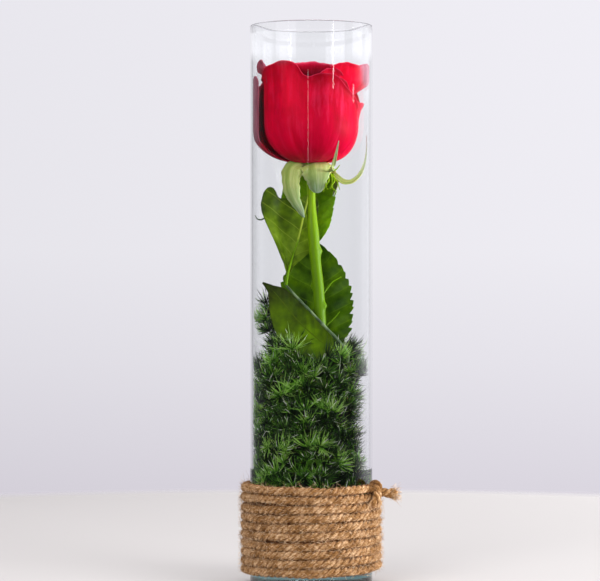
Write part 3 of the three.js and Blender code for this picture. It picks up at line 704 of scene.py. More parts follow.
# Each leaf: its midrib, the way it faces, its half widths left and right, its fold, its finish and the rest.
leaves = {
    "upper_leaf": (
        [(2.6, 6, 221.5), (1, 11, 231), (-1.2, 15, 245), (-2.4, 18, 258), (-2.8, 22, 270), (-2.6, 28, 281)],
        (0, -1, 0),
        (
            (0, 0.6), (0.08, 9), (0.2, 15), (0.4, 18), (0.52, 18.5), (0.63, 16.5), (0.75, 12.5),
            (0.88, 7.5), (1, 0.4),
        ),
        (
            (0, 0.6), (0.05, 4.5), (0.1, 8), (0.17, 11.5), (0.26, 14.2), (0.4, 17), (0.55, 19.5),
            (0.75, 20.5), (0.9, 13), (1, 0.4),
        ),
        9, fresh_leaf, {"wave": 0.6, "bite": 0.03},
    ),
    "back_leaf": (
        [(4, 9, 140), (3, 12, 160), (2.6, 12, 185), (1.6, 10.5, 207), (0.4, 8.2, 226)],
        (0, -1, 0),
        ((0, 1), (0.12, 14), (0.3, 25), (0.5, 26.5), (0.7, 22), (0.85, 14), (0.95, 6), (1, 0.4)),
        (
            (0, 1), (0.12, 14), (0.3, 24.5), (0.5, 26), (0.62, 25), (0.75, 20.5), (0.85, 15), (0.93, 8.5),
            (1, 0.4),
        ),
        8, dark_leaf, {"wave": 0.9, "quilt": 0.9, "bite": 0.075, "teeth": 19},
    ),
    "end_leaflet": (
        [
            (-16.1, -8, 196.7), (-13.2, -2.5, 209.8), (-8.6, 2.5, 224.8), (-5, 6.3, 239.1),
            (-1.4, 9, 254.2), (0.5, 10.5, 267),
        ],
        (0.3, -1, 0),
        (
            (0, 0.3), (0.08, 1.2), (0.17, 5), (0.27, 12.2), (0.37, 19.7), (0.46, 25), (0.55, 29.4),
            (0.62, 31.4), (1, 32.2),
        ),
        (
            (0, 0.3), (0.08, 0.8), (0.17, 2.2), (0.27, 6.6), (0.37, 10.8), (0.46, 11), (0.55, 9), (0.75, 8),
            (0.9, 5), (1, 0.4),
        ),
        5, light_leaf, {
            "wave": 0.3, "bite": 0.0, "crease": ((0.52, 0.16, -1.6), (0.8, 0.14, 0.8)), "quilt": 0.15,
            "cap": (
                (-1, 0.8), (-0.5, 0.86), (0, 0.84), (0.2, 0.78), (0.5, 0.74), (0.62, 0.725), (0.68, 0.735),
                (0.74, 0.775), (0.81, 0.805), (0.88, 0.808), (0.95, 0.785), (1, 0.72),
            ),
        },
    ),
    "side_leaflet": (
        [
            (15.6, -13, 152), (4.4, -14.2, 160.7), (-7.3, -14.5, 171.2), (-17.8, -13, 183.6),
            (-25.6, -11.2, 192.7), (-31.3, -10, 197.2),
        ],
        (-0.1, -1, 0.2),
        (
            (0, 0.6), (0.12, 12), (0.3, 17), (0.5, 17), (0.68, 12.5), (0.8, 7), (0.88, 3.4), (0.94, 1.9),
            (1, 0.4),
        ),
        (
            (0, 0.6), (0.12, 7), (0.3, 9), (0.5, 9.5), (0.7, 8.5), (0.82, 6.6), (0.9, 2.6), (0.95, 1.3),
            (1, 0.3),
        ),
        7, olive_leaf, {"wave": 0.5, "bite": 0.03},
    ),
}
for name, (rib, facing, left, right, fold, material, more) in leaves.items():
    grid, place = blade(rib, facing, left, right, fold, **more)
    stand(name, *surface(grid), material, ["rose_stem"], "stem", uv=place, wall=0.4)

# Each stalk and shoot: its route, and its radius at the first and at the last point.
stalks = [
    ([(4.6, -1, 205), (3.2, 2.2, 214), (2.6, 5, 222), (1.6, 8.5, 228)], 1.1, 0.8),
    ([(6.8, -2.7, 126), (6.2, 5, 134), (4.2, 9, 146)], 1.2, 0.9),
    (
        [
            (6.8, -2.7, 125), (16, -10.5, 132), (22.5, -15.5, 142), (23, -17.8, 152), (18, -18.8, 158.8),
            (10, -19.2, 167.4), (0, -18.6, 178), (-10, -15, 188.5), (-16.2, -9.8, 195.4),
        ],
        1.15, 0.75,
    ),
    ([(20, -18, 157), (18, -15.5, 154.5), (14, -13.2, 153)], 0.7, 0.6),
    ([(-30, -2, 239.5), (-32.5, -2.3, 238.2), (-35, -2.6, 238.6), (-36.6, -3, 241)], 0.6, 0.25),
]
shoots = [
    (
        [
            (-16.2, -9.8, 195.2), (-15.8, -8.3, 200), (-13.6, -3.8, 208.8), (-10.6, 0, 218.6),
            (-8.2, 2.2, 225.4),
        ],
        0.95, 0.45,
    ),
    ([(6, -1, 187), (10, 2, 192.4), (14, 3.5, 197.4), (19.8, 4.5, 200.8)], 0.6, 0.35),
    ([(6.6, -1, 162), (10, 2, 168.8), (14, 3.5, 172.6), (18.8, 4.5, 178)], 0.5, 0.3),
]
STALK_KNOTS = (0.36, 0.47, 0.52, 0.63, 0.78)
STALK_HINT = (0.1, 0.9, 0.1)

fine = np.array([along(control, np.linspace(0, 1, 40)) for control, first, last in shoots])
thick = np.array([np.linspace(first, last, 40) for control, first, last in shoots])
grid, parts, _ = tubes(fine, thick, 9, STALK_HINT)
stand("green_shoots", grid, parts, cane, ["rose_stem"], "stem")
grown = []
s = np.linspace(0, 1, 90)
knots = 1 + 0.3 * sum(np.exp(-(((s - at) / 0.012) ** 2)) for at in STALK_KNOTS) + 0.05 * np.sin(61 * s)
for control, first, last in stalks:
    thick = (first + (last - first) * s) * knots
    grown.append(tubes(along(control, s)[None], thick[None], 12, STALK_HINT)[:2])
stalk_green, tree, shader = finish("stalk_green", Roughness=0.5)
colour = ramp(
    tree,
    noise(tree, in_body(tree), 160.0, Detail=3.0),
    [(0.38, (0.02, 0.04, 0.012)), (0.52, (0.06, 0.11, 0.04)), (0.66, (0.18, 0.25, 0.12))],
)
paint(tree, shader, colour)
stand("leaf_stalks", *joined(grown), stalk_green, ["rose_stem"], "stem")

# ---------------------------------------------------------------------------------------------------
# Calyx: the swollen hip on the end of the stem, with five pale downy sepals turned back under the
# bloom; one runs out thin to the right and curls up, and a torn sliver stands against the petals.
# ---------------------------------------------------------------------------------------------------

downy, tree, shader = finish(
    "downy_sepal", Roughness=0.62, Sheen_Weight=0.12, Specular_IOR_Level=0.2, Subsurface_Weight=0.1,
    Subsurface_Scale=0.003,
)
streak = noise(tree, on_surface(tree, (6, 1.6, 1)), 1.0, Detail=4.0)
colour = ramp(tree, streak, [(0.3, (0.3, 0.4, 0.085)), (0.5, (0.47, 0.56, 0.15)), (0.7, (0.66, 0.72, 0.3))])
split = xyz(tree, on_surface(tree))
# Across the sepal: the pale margins and midrib are its own colour; the darker left half and lighter right
# half are painted shade and painted light.
side = ramp(
    tree,
    split["X"],
    [
        (0.0, (1.5, 1.35, 1.6)), (0.05, (1.0, 1.0, 1.0)), (0.3, (0.72, 0.8, 0.62)),
        (0.47, (0.95, 1.0, 0.9)), (0.5, (1.3, 1.25, 1.4)), (0.53, (1.0, 1.0, 1.0)), (0.7, (1.1, 1.06, 1.1)),
        (0.95, (0.95, 1.0, 0.9)), (1.0, (1.5, 1.35, 1.6)),
    ],
)
withered = ramp(tree, split["Y"], [(0.45, (1, 1, 1)), (0.72, (0.66, 0.72, 1.0)), (1.0, (0.5, 0.58, 1.3))])
paint(tree, shader, times(tree, colour, side, withered), streak, 0.14, 0.0003)


def sepal(rib, facing, half, curl, taper, rows=70, columns=17):
    """Sepal round its midrib: width half (1 - t)^taper (0.8 + 0.5 sin pi t), its edges cupped inwards."""
    t, u = np.linspace(0, 1, rows)[:, None], np.linspace(-1, 1, columns)[None]
    line, across, normal = ribbed(rib, facing, t[:, 0])
    width = half * ((1 - t) ** taper * (0.8 + 0.5 * np.sin(np.pi * t)) + 0.05)
    ragged = 1 + 0.05 * np.sin(23 * t) + 0.04 * np.sin(57 * t)
    bend = curl * width * u**2 + 0.12 * np.cos(3 * np.pi * u) * (1 - t)
    grid = line + (width * ragged * u)[..., None] * across + bend[..., None] * normal
    return grid, np.stack(np.broadcast_arrays(u * 0.5 + 0.5, t), -1)


# Each sepal: its midrib, the way it faces, its half width, the curl of its edges and its taper.
sepals = {
    "sepal_left": (
        [
            (-2, -3, 273.6), (-8, -8, 274.6), (-12.4, -10.5, 271.6), (-13.6, -11.5, 262), (-11.2, -11, 252),
            (-7.4, -9.6, 245), (-4.6, -8, 239.5),
        ],
        (-0.35, -1, 0.6), 6.6, -0.25, 0.62,
    ),
    "sepal_front": (
        [
            (1, -2, 273.6), (2.2, -9.5, 274.8), (3.0, -14.5, 271.4), (3.6, -14.6, 264), (3.8, -12.6, 258),
            (3.9, -11.6, 255.4),
        ],
        (0, -1, 0.5), 8.2, -0.2, 0.28,
    ),
    "sepal_long": (
        [
            (4, -2, 273.2), (11, -6, 270), (16.5, -7.5, 266), (21, -8, 262.8), (26, -8, 262.9),
            (31, -7.5, 267), (34.3, -6.3, 274), (35.9, -4.5, 283), (36.2, -3, 293),
        ],
        (0.2, -1, 0.4), 2.3, 0.3, 1.35,
    ),
    "sepal_right": (
        [(3, 2, 273.2), (12, 7.5, 273.4), (17, 10, 264), (14.5, 10, 254)], (1, 0.6, 1), 5, -0.2, 0.8
    ),
    "sepal_back": (
        [(-1.5, 2, 273.2), (-7, 11, 273.4), (-10, 16, 265), (-10, 13.5, 258)], (-0.6, 1, 1), 5, -0.2, 0.8
    ),
    "sepal_sliver": (
        [(3, -3, 273), (8.5, -9.5, 271), (12.2, -17, 269), (14.6, -27, 275), (17.4, -32.6, 288)],
        (0.3, -1, 0.6), 1.9, 0.3, 0.7,
    ),
}
for name, (rib, facing, half, curl, taper) in sepals.items():
    grid, place = sepal(rib, facing, half, curl, taper)
    stand(name, *surface(grid), downy, ["rose_stem"], "stem", uv=place, wall=0.6)

HIP_CENTRE = (0.8, -0.3, 0)
hip_profile = (
    [0.0, 3.4, 3.7, 4.3, 5.3, 6.1, 6.2, 5.8, 5.6, 5.6, 5.6, 5.5, 4.0, 0.0],
    [264.5, 264.6, 265.5, 266.8, 268.6, 270.6, 271.9, 272.8, 273.3, 273.9, 274.7, 275.3, 275.6, 275.6],
)
shreds = [
    [(10, -8, 270.5), (12.5, -11, 268), (13.6, -12, 263), (12.4, -12, 258)],
    [(10, -8, 270.5), (14, -11, 266), (17, -12, 262), (18.4, -12, 257.4)],
    [(9, -8, 270.5), (9.6, -12, 266), (9.2, -13, 261), (10.8, -13, 257.2)],
    [(12, -9, 269.5), (16, -11, 270.5), (18.5, -12, 273.5)],
    [(9, -8, 270.5), (11.5, -12, 264), (8.6, -13, 258.6), (7.8, -13, 255.8)],
    [(14, -9, 268), (15, -12, 263), (13.2, -13, 259.6), (16, -13, 256)],
]
fine = np.array([along(control, np.linspace(0, 1, 16)) for control in shreds])
grid, parts, _ = tubes(fine, np.linspace(0.75, 0.22, 16)[None], 7, STALK_HINT)
stand("sepal_shreds", grid, parts, cane, ["rose_stem"], "stem")

hip, quads = turned([hip_profile], steps=48)
stand("rose_hip", hip + HIP_CENTRE, quads, cane, ["rose_stem"], "stem", poles=True)

# ---------------------------------------------------------------------------------------------------
# Bloom: velvety crimson petals cupped one inside the other. The outermost are placed one by one as
# the photo shows them, and the inner ones spiral in to a furled heart.
# ---------------------------------------------------------------------------------------------------

BLOOM_X, BLOOM_Z = -0.5, 275.0
PETAL_SOFT, GLASS_SIDE = 36.2, 38.2
FADE_OVER = 2.2


def velvet_finish(name, stops):
    """Crimson with fine veins along the petal and a slow cloud, times a tone up the petal from its stops and
    a painted light across it: lighter left of the middle, darker towards the right. Where the shade is high,
    at margins pressed to the glass, the red has faded to mauve."""
    material, tree, shader = finish(
        name, Roughness=0.5, Subsurface_Weight=0.15, Subsurface_Scale=0.005,
        Subsurface_Radius=(1.0, 0.12, 0.1), Sheen_Weight=0.08, Sheen_Roughness=0.45,
        Sheen_Tint=(1.0, 0.1, 0.24, 1), Specular_IOR_Level=0.035,
    )
    place = on_surface(tree)
    vein = noise(tree, on_surface(tree, (16, 2.1, 1)), 1.0, Detail=5.0, Roughness=0.6, Distortion=0.25)
    split = xyz(tree, place)
    grain = ramp(tree, vein, [(0.34, (0.86, 0.72, 0.74)), (0.52, (1, 1, 1))])
    slow = noise(tree, place, 3.6, Detail=3.0)
    cloud = ramp(tree, slow, [(0.36, (0.8, 0.68, 0.72)), (0.54, (1.0, 1.0, 1.0))])
    # Painted light across the petal: a lighter band left of the middle and a darker right side.
    side = ramp(
        tree,
        split["X"],
        [
            (0.0, (0.82, 0.82, 0.84)), (0.2, (1, 1, 1)), (0.32, (1, 1, 1)),
            (0.5, (0.68, 0.68, 0.74)), (0.75, (0.62, 0.62, 0.7)), (0.95, (0.72, 0.72, 0.8)),
        ],
    )
    colour = times(tree, ramp(tree, split["Y"], stops), grain, cloud, side)
    colour = blend(tree, span(tree, vein, 0.53, 0.72, 0.0, 0.34), colour, (1.0, 0.04, 0.15, 1))
    mauve = ramp(tree, vein, [(0.36, (0.28, 0.045, 0.085)), (0.6, (0.5, 0.13, 0.2))])
    paint(tree, shader, blend(tree, shade_of(tree), colour, mauve), vein, 0.25, 0.0004)
    return material


# Up the petal: darker just under the rim as painted shade, and pink at the very edge as a painted highlight.
crimson = velvet_finish(
    "crimson_velvet",
    [
        (0.0, (0.95, 0.0, 0.03)), (0.3, (0.99, 0.0, 0.042)), (0.75, (0.99, 0.0, 0.036)),
        (0.94, (0.78, 0.0, 0.026)), (0.985, (0.62, 0.0, 0.024)), (1.0, (0.95, 0.03, 0.1)),
    ],
)
# Inner petals: near black up to just under their rims, painted shade deep in the bloom, and pink at the very
# rim, a painted highlight.
heart_red_painted_shade = velvet_finish(
    "heart_velvet_painted_shade",
    [
        (0.0, (0.08, 0.0, 0.004)), (0.82, (0.1, 0.0, 0.006)), (0.91, (0.42, 0.0, 0.022)),
        (0.96, (0.75, 0.004, 0.045)), (0.985, (0.9, 0.03, 0.1)), (1.0, (1.0, 0.16, 0.26)),
    ],
)


def ease(x, low, high):
    """Smooth step from 0 at low to 1 at high."""
    t = np.clip((x - low) / (high - low), 0, 1)
    return t * t * (3 - 2 * t)


def petal(
    azimuth, spread, radius, height, rim=((-1, 0.86), (-0.8, 0.96), (0, 1.0), (0.8, 0.96), (1, 0.86)),
    lift=0.0, lean=0.03, flare=1.5, flare_from=0.55, flare_over=0.45, flare_turn=(-3.0, -2.0), roll=1.2,
    lap=1.4, ruffle=0.6, phase=0.0, waves=3.0, faded=34.4, faded_turn=(-3.0, -2.0), dents=(), depth=0.385,
    square=0.8, rows=84, columns=81,
):
    """One petal of a cup. Going up, w runs from 0 to the rim's share of the height over u: a quarter ellipse
    radius wide and depth x height tall, drawn square by a power of the sine, then a wall that leans in by
    lean wall^2 and flares out. Round the cup it spans +-spread degrees. Past the radius faded its red turns
    mauve. The rim rolls out by roll and is ruffled, lap lays one edge over the next, and each dent
    (u, w, width, height, depth) adds depth exp(-(du / width)^2 - (dw / height)^2) to the radius."""
    v, u = np.linspace(0, 1, rows)[:, None], np.linspace(-1, 1, columns)[None]
    fine = np.linspace(-1, 1, 401)
    hem = np.interp(u, fine, softened(np.interp(fine, *np.array(rim).T), 27))
    w = (0.03 + 0.97 * v) * hem
    bowl = np.clip(w / depth, 0, 1) * np.pi / 2
    wall = np.clip(w - depth, 0, None) / (1 - depth)
    round_cup = np.radians(azimuth + u * spread)
    wave = np.sin(round_cup * waves + phase) + 0.5 * np.sin(round_cup * waves * 2.3 + 2 * phase)
    lip = ease(v, 0.86, 1.0)
    edge = ease(np.abs(u), 0.88, 1.0) * ease(w, 0.25, 0.6)
    out = radius * np.sin(bowl) ** square * (1 - lean * wall**2) + lap * u * np.sin(bowl)
    out = out + flare * ease(wall, flare_from, flare_from + flare_over) * ease(u, *flare_turn)
    out = out + roll * lip**2 + 0.5 * roll * edge**2 + ruffle * wave * (0.25 * ease(w, 0.3, 0.7) + lip)
    for du, dw, wide, tall, deep in dents:
        out = out + deep * np.exp(-(((u - du) / wide) ** 2) - ((w - dw) / tall) ** 2)
    z = lift * (1 - w) + depth * height * (1 - np.cos(bowl)) + np.clip(w - depth, 0, None) * height
    z = z - lap * u * np.cos(bowl) * 0.8 - 0.7 * roll * lip**3 + 0.6 * ruffle * np.roll(wave, 5, 1) * lip
    crinkle = 0.4 * np.sin(round_cup * 17 + 5 * phase) + 0.3 * np.sin(round_cup * 41 + 3 * phase)
    z = z + ruffle * crinkle * lip**2
    turn = np.radians(azimuth + u * spread * (0.8 + 0.2 * ease(w, 0, 0.4)))
    x, y = BLOOM_X + out * np.cos(turn), out * np.sin(turn)
    grid = np.stack([x, y, BLOOM_Z + z], -1)
    mauve = ease(np.hypot(x, y), faded, faded + FADE_OVER) * ease(u, *faded_turn)
    place = np.stack(np.broadcast_arrays(u * 0.5 + 0.5, v), -1)
    return pressed(grid, PETAL_SOFT, GLASS_SIDE), place, mauve


broad_rim = (
    (-1, 0.84), (-0.97, 0.9), (-0.92, 0.935), (-0.85, 0.95), (-0.715, 0.965), (-0.5, 1.0), (-0.36, 1.0),
    (-0.265, 0.985), (-0.19, 0.95), (-0.14, 0.885), (-0.08, 0.85), (0.0, 0.84), (0.08, 0.856), (0.15, 0.87),
    (0.3, 0.872), (0.42, 0.866), (0.53, 0.825), (0.67, 0.745), (0.84, 0.68), (0.93, 0.64), (1, 0.54),
)
# Outside: the broad front petal, one at the left, one at the right and two behind.
outer = [
    dict(
        azimuth=-91.5, spread=65, radius=33.2, height=65.5, square=0.66, rim=broad_rim, lean=0.0, flare=0.4,
        roll=0.9, lap=0.0, ruffle=0.15, waves=4,
        dents=(
            (-0.45, 0.7, 0.14, 0.5, 1.3), (-0.7, 0.6, 0.12, 0.4, -1.0), (-1.0, 0.6, 0.12, 0.6, -1.2),
            (0.0, 0.86, 0.16, 0.12, -1.4), (0.45, 0.42, 0.3, 0.16, 1.2), (-0.6, 0.25, 0.25, 0.12, -1.0),
            (0.08, 0.6, 0.1, 0.25, -0.7), (0.3, 0.75, 0.1, 0.2, 0.5), (-0.25, 0.4, 0.12, 0.15, 0.5),
        ),
    ),
    dict(
        azimuth=168, spread=40, radius=39.0, height=65.5, lean=0.0, flare=0.0, faded_turn=(-0.7, 0.3),
        roll=0.3, lap=0.2, ruffle=0.3, phase=1.1,
        rim=(
            (-1, 0.5), (-0.8, 0.7), (-0.3, 0.78), (0.1, 0.77), (0.3, 0.79), (0.5, 0.83), (0.75, 0.86),
            (0.9, 0.855), (1, 0.8),
        ),
    ),
    dict(
        azimuth=0, spread=52, radius=31.2, height=65.5, square=0.6, lean=-0.04, flare=2.8, flare_from=0.0,
        flare_turn=(-0.75, 0.0), roll=0.7, lap=-0.8, ruffle=0.5, phase=2.1, waves=5, faded=33.6,
        rim=((-1, 0.66), (-0.5, 0.62), (-0.1, 0.585), (0.1, 0.56), (0.5, 0.6), (0.8, 0.55), (1, 0.4)),
    ),
    dict(
        azimuth=64, spread=44, radius=34.6, height=65.5, lean=0.02, flare=1.2, roll=1.6, lap=0.9,
        ruffle=0.5, phase=0.3,
        rim=((-1, 0.6), (-0.7, 0.8), (-0.3, 0.92), (0.2, 0.9), (0.6, 0.86), (1, 0.66)),
    ),
    dict(
        azimuth=116, spread=48, radius=34.0, height=65.5, lean=0.03, flare=0.8, roll=1.2, lap=0.7,
        ruffle=0.5, phase=2.6,
        rim=((-1, 0.7), (-0.6, 0.93), (0.0, 0.98), (0.5, 0.94), (1, 0.8)),
    ),
]
# Next: the right petal that flares to the glass, one at the left, two behind and two in front.
middle = [
    dict(
        azimuth=-14, spread=50, radius=27.0, height=65, lift=2, lean=0.0, flare=12.5, flare_from=0.42,
        flare_over=0.3, flare_turn=(-1.15, 0.25), roll=1.0, lap=0.5, ruffle=0.35, phase=0.4, waves=5,
        rim=(
            (-1, 0.95), (-0.8, 0.985), (-0.55, 1.0), (-0.3, 0.975), (-0.1, 1.0), (0.15, 0.985),
            (0.35, 0.97), (0.6, 0.94), (0.85, 0.9), (1, 0.8),
        ),
    ),
    dict(
        azimuth=-180, spread=33, radius=29.6, height=65.2, lift=2, lean=0.0, flare=3.2, flare_from=0.62,
        flare_turn=(-1.6, -0.6), roll=2.4, lap=0.4, ruffle=0.5, phase=1.7, waves=6, faded=31.6,
        rim=(
            (-1, 0.8), (-0.6, 0.95), (-0.2, 0.95), (0.2, 0.965), (0.45, 1.0), (0.68, 1.055), (0.85, 1.04),
            (1, 0.8),
        ),
    ),
    dict(
        azimuth=72, spread=54, radius=30.2, height=64.5, lift=2, lean=0.03, flare=2.2, roll=1.8, lap=1.1,
        ruffle=0.8, phase=2.9,
    ),
    dict(
        azimuth=138, spread=50, radius=29.6, height=65, lift=2.5, lean=0.03, flare=2.0, roll=1.6, lap=1.1,
        ruffle=0.8, phase=0.9,
    ),
    dict(
        azimuth=-72, spread=42, radius=28.6, height=65, lift=2.5, lean=0.0, flare=1.0, roll=1.2, lap=0.2,
        ruffle=0.25, phase=2.2, waves=5,
        rim=(
            (-1, 0.74), (-0.85, 0.76), (-0.5, 0.76), (-0.3, 0.8), (-0.14, 0.885), (0.05, 0.93),
            (0.35, 0.94), (0.55, 0.9), (0.75, 0.8), (1, 0.6),
        ),
    ),
    dict(
        azimuth=-56, spread=31, radius=30.0, height=65, lift=2.5, lean=0.0, flare=1.2, roll=0.8, lap=0.3,
        ruffle=0.2, phase=0.2, waves=6,
        rim=((-1, 0.7), (-0.75, 0.8), (-0.3, 0.83), (0.1, 0.84), (0.4, 0.8), (0.7, 0.7), (1, 0.5)),
    ),
]
# The rings towards the heart: (petals, radius, height, lean, flare).
INNER_RINGS = [
    (5, 25.6, 66.0, 0.08, 1.4), (5, 21.8, 65.5, 0.12, 1.1), (5, 18.0, 65.0, 0.16, 0.9),
    (4, 14.2, 64.6, 0.2, 0.7),
    (4, 10.6, 64.0, 0.24, 0.5), (3, 7.4, 63.4, 0.28, 0.4), (3, 4.6, 62.8, 0.3, 0.3),
]
draw = np.random.default_rng(8)
inner = []
for ring, (count, radius, height, lean, flare) in enumerate(INNER_RINGS):
    for k in range(count):
        inner.append(
            dict(
                azimuth=360 / count * k + 47 * ring + 57 + draw.uniform(-6, 6), spread=360 / count * 0.78,
                radius=radius, height=height + draw.uniform(-1.2, 0.4), lift=3.5 + 2.2 * ring, lean=lean,
                flare=flare, roll=1.2 - 0.14 * ring, lap=1.3, ruffle=0.42 - 0.04 * ring,
                phase=draw.uniform(0, 6), rows=44, columns=33,
            )
        )

bloom = {
    "outer_petals": (outer, crimson),
    "middle_petals": (middle, crimson),
    "inner_petals": (inner, heart_red_painted_shade),
}
for name, (ring, velvet) in bloom.items():
    grids, places, fades = zip(*(petal(**settings) for settings in ring))
    sheets = joined([surface(grid) for grid in grids])
    places = np.concatenate([place.reshape(-1, 2) for place in places])
    fades = np.concatenate([fade.ravel() for fade in fades])
    stand(name, *sheets, velvet, ["rose_petals"], "petal", uv=places, shade=fades, wall=0.45)

# ---------------------------------------------------------------------------------------------------
# Fern: six cut sprays of tufted asparagus fern pressed round the stem. Each is a wiry stem with thin
# twigs, and every twig ends in a burst of soft needles, flattened where it meets the glass.
# ---------------------------------------------------------------------------------------------------

# Each spray: its compass angle round the vase and the height of its top.
SPRAYS = {
    "fern_spray_front": (270, 150),
    "fern_spray_front_right": (330, 152),
    "fern_spray_back_right": (30, 160),
    "fern_spray_back": (90, 166),
    "fern_spray_back_left": (150, 184),
    "fern_spray_front_left": (210, 162),
}
FERN_LOWEST, INNER_LOWEST, STEM_FOOT, FERN_KNEE = 58, 56, 13, 83
TUFTS_PER_MM, INNER_PER_MM, TUFT_BACK, TWIG_DROP = 0.62, 0.55, 3, 9
FOOT_OUT, KNEE_OUT, CROWN_OUT = 15.5, 16.5, 18.5
EDGE_TUFTS, EDGE_OUT, EDGE_LOW, EDGE_HIGH = 16, 35.8, 62, 144
NEEDLES, INNER_NEEDLES, TUFT_WIDTH, INNER_WIDTH = 36, 28, 80, 95
NEEDLE_SOFT, NEEDLE_RADIUS, INNER_NEEDLE_RADIUS = 35.0, 0.22, 0.42
# A needle's thickness, its tones, darker at the foot as painted shade, and the painted glint of a glinting
# one, from its foot to its tip.
NEEDLE_TAPER = np.array([0.75, 1.0, 1.0, 0.8, 0.12])
NEEDLE_TONES = np.array([-0.35, -0.12, 0.05, 0.14, 0.18])
GLINT = np.array([0, 0, 0.3, 0.95, 0.95])

needle, tree, shader = finish(
    "fern_needle", Roughness=0.24, Specular_IOR_Level=0.5, Subsurface_Weight=0.06, Subsurface_Scale=0.002
)
# Tone ramp: its near-black low end stands for painted shade and its white top for painted glints.
colour = ramp(
    tree,
    shade_of(tree),
    [
        (0.0, (0.001, 0.005, 0.001)), (0.3, (0.004, 0.016, 0.002)), (0.5, (0.018, 0.06, 0.003)),
        (0.7, (0.075, 0.24, 0.008)), (0.86, (0.25, 0.58, 0.05)), (0.96, (0.5, 0.8, 0.18)),
        (1.0, (1.0, 1.0, 0.85)),
    ],
)
paint(tree, shader, colour)


def burst(centre, axis, length, wide, shade, radius):
    """Needles of tufts: each leaves its tuft's centre within an angle wide of its axis, is drawn out along s
    L (direction + bend s), bends up towards the axis and is pressed against the glass. Its tone rises to the
    tip, painted shade at its foot; one in six is painted lighter and one in seventeen carries a painted white
    glint."""
    tufts, count = length.shape
    side = unit(np.cross(axis, (0.2, 0.3, 0.9)))
    other = np.cross(axis, side)
    tilt = np.radians(6 + wide * draw.uniform(0, 1, (tufts, count)) ** 0.6)[..., None]
    spin = draw.uniform(0, 2 * np.pi, (tufts, count))[..., None]
    heading = np.cos(spin) * side[:, None] + np.sin(spin) * other[:, None]
    heading = np.cos(tilt) * axis[:, None] + np.sin(tilt) * heading
    s = np.linspace(0, 1, 5)[:, None]
    bend = 0.3 * axis[:, None] + 0.14 * draw.normal(size=(tufts, count, 3))
    reach = s * heading[:, :, None] + s**2 * bend[:, :, None]
    paths = centre[:, None, None] + length[..., None, None] * reach
    paths = pressed(paths.reshape(-1, 5, 3), NEEDLE_SOFT, GLASS_SIDE)
    grid, parts, _ = tubes(paths, radius * NEEDLE_TAPER[None], 3, (0.37, 0.21, 0.9))
    glow = shade[:, None] + draw.normal(0, 0.08, (tufts, count))
    glint_draw = draw.uniform(size=(tufts, count)).reshape(-1, 1)
    glow = np.clip(glow.reshape(-1, 1) + NEEDLE_TONES[None] + 0.2 * (glint_draw > 0.82), 0, 0.95)
    tones = np.clip(glow + (glint_draw > 0.94) * GLINT[None], 0, 1)
    return grid, parts, np.repeat(tones[:, :, None], 3, 2)


# Tufts placed one by one, as the photo shows them. The last five of the front spray are its bright ones.
PLACED = {
    "fern_spray_back_left": [(-31, 2, 186), (-33, 4, 174), (-31, 10, 168)],
    "fern_spray_front_left": [(-32, -8, 174), (-29, -13, 168)],
    "fern_spray_front_right": [(21, -24, 152), (29, -15, 156)],
    "fern_spray_front": [
        (-22, -24, 158), (-17, -26, 148), (-5, -29, 142), (5, -29, 147), (12, -28, 152),
        (-12, -26, 157), (-17, -27, 128), (-19, -27, 92), (-2, -30, 94), (9, -29, 117),
    ],
}
BRIGHT = 5
BRIGHT_TONES = (0.92, 0.8, 0.76, 0.76, 0.7)
BRIGHT_AXES = [(0.05, -0.5, 1), (0.2, -0.4, 1), (0.3, -0.4, 1), (-0.1, -0.4, 1), (0.1, -0.5, 1)]

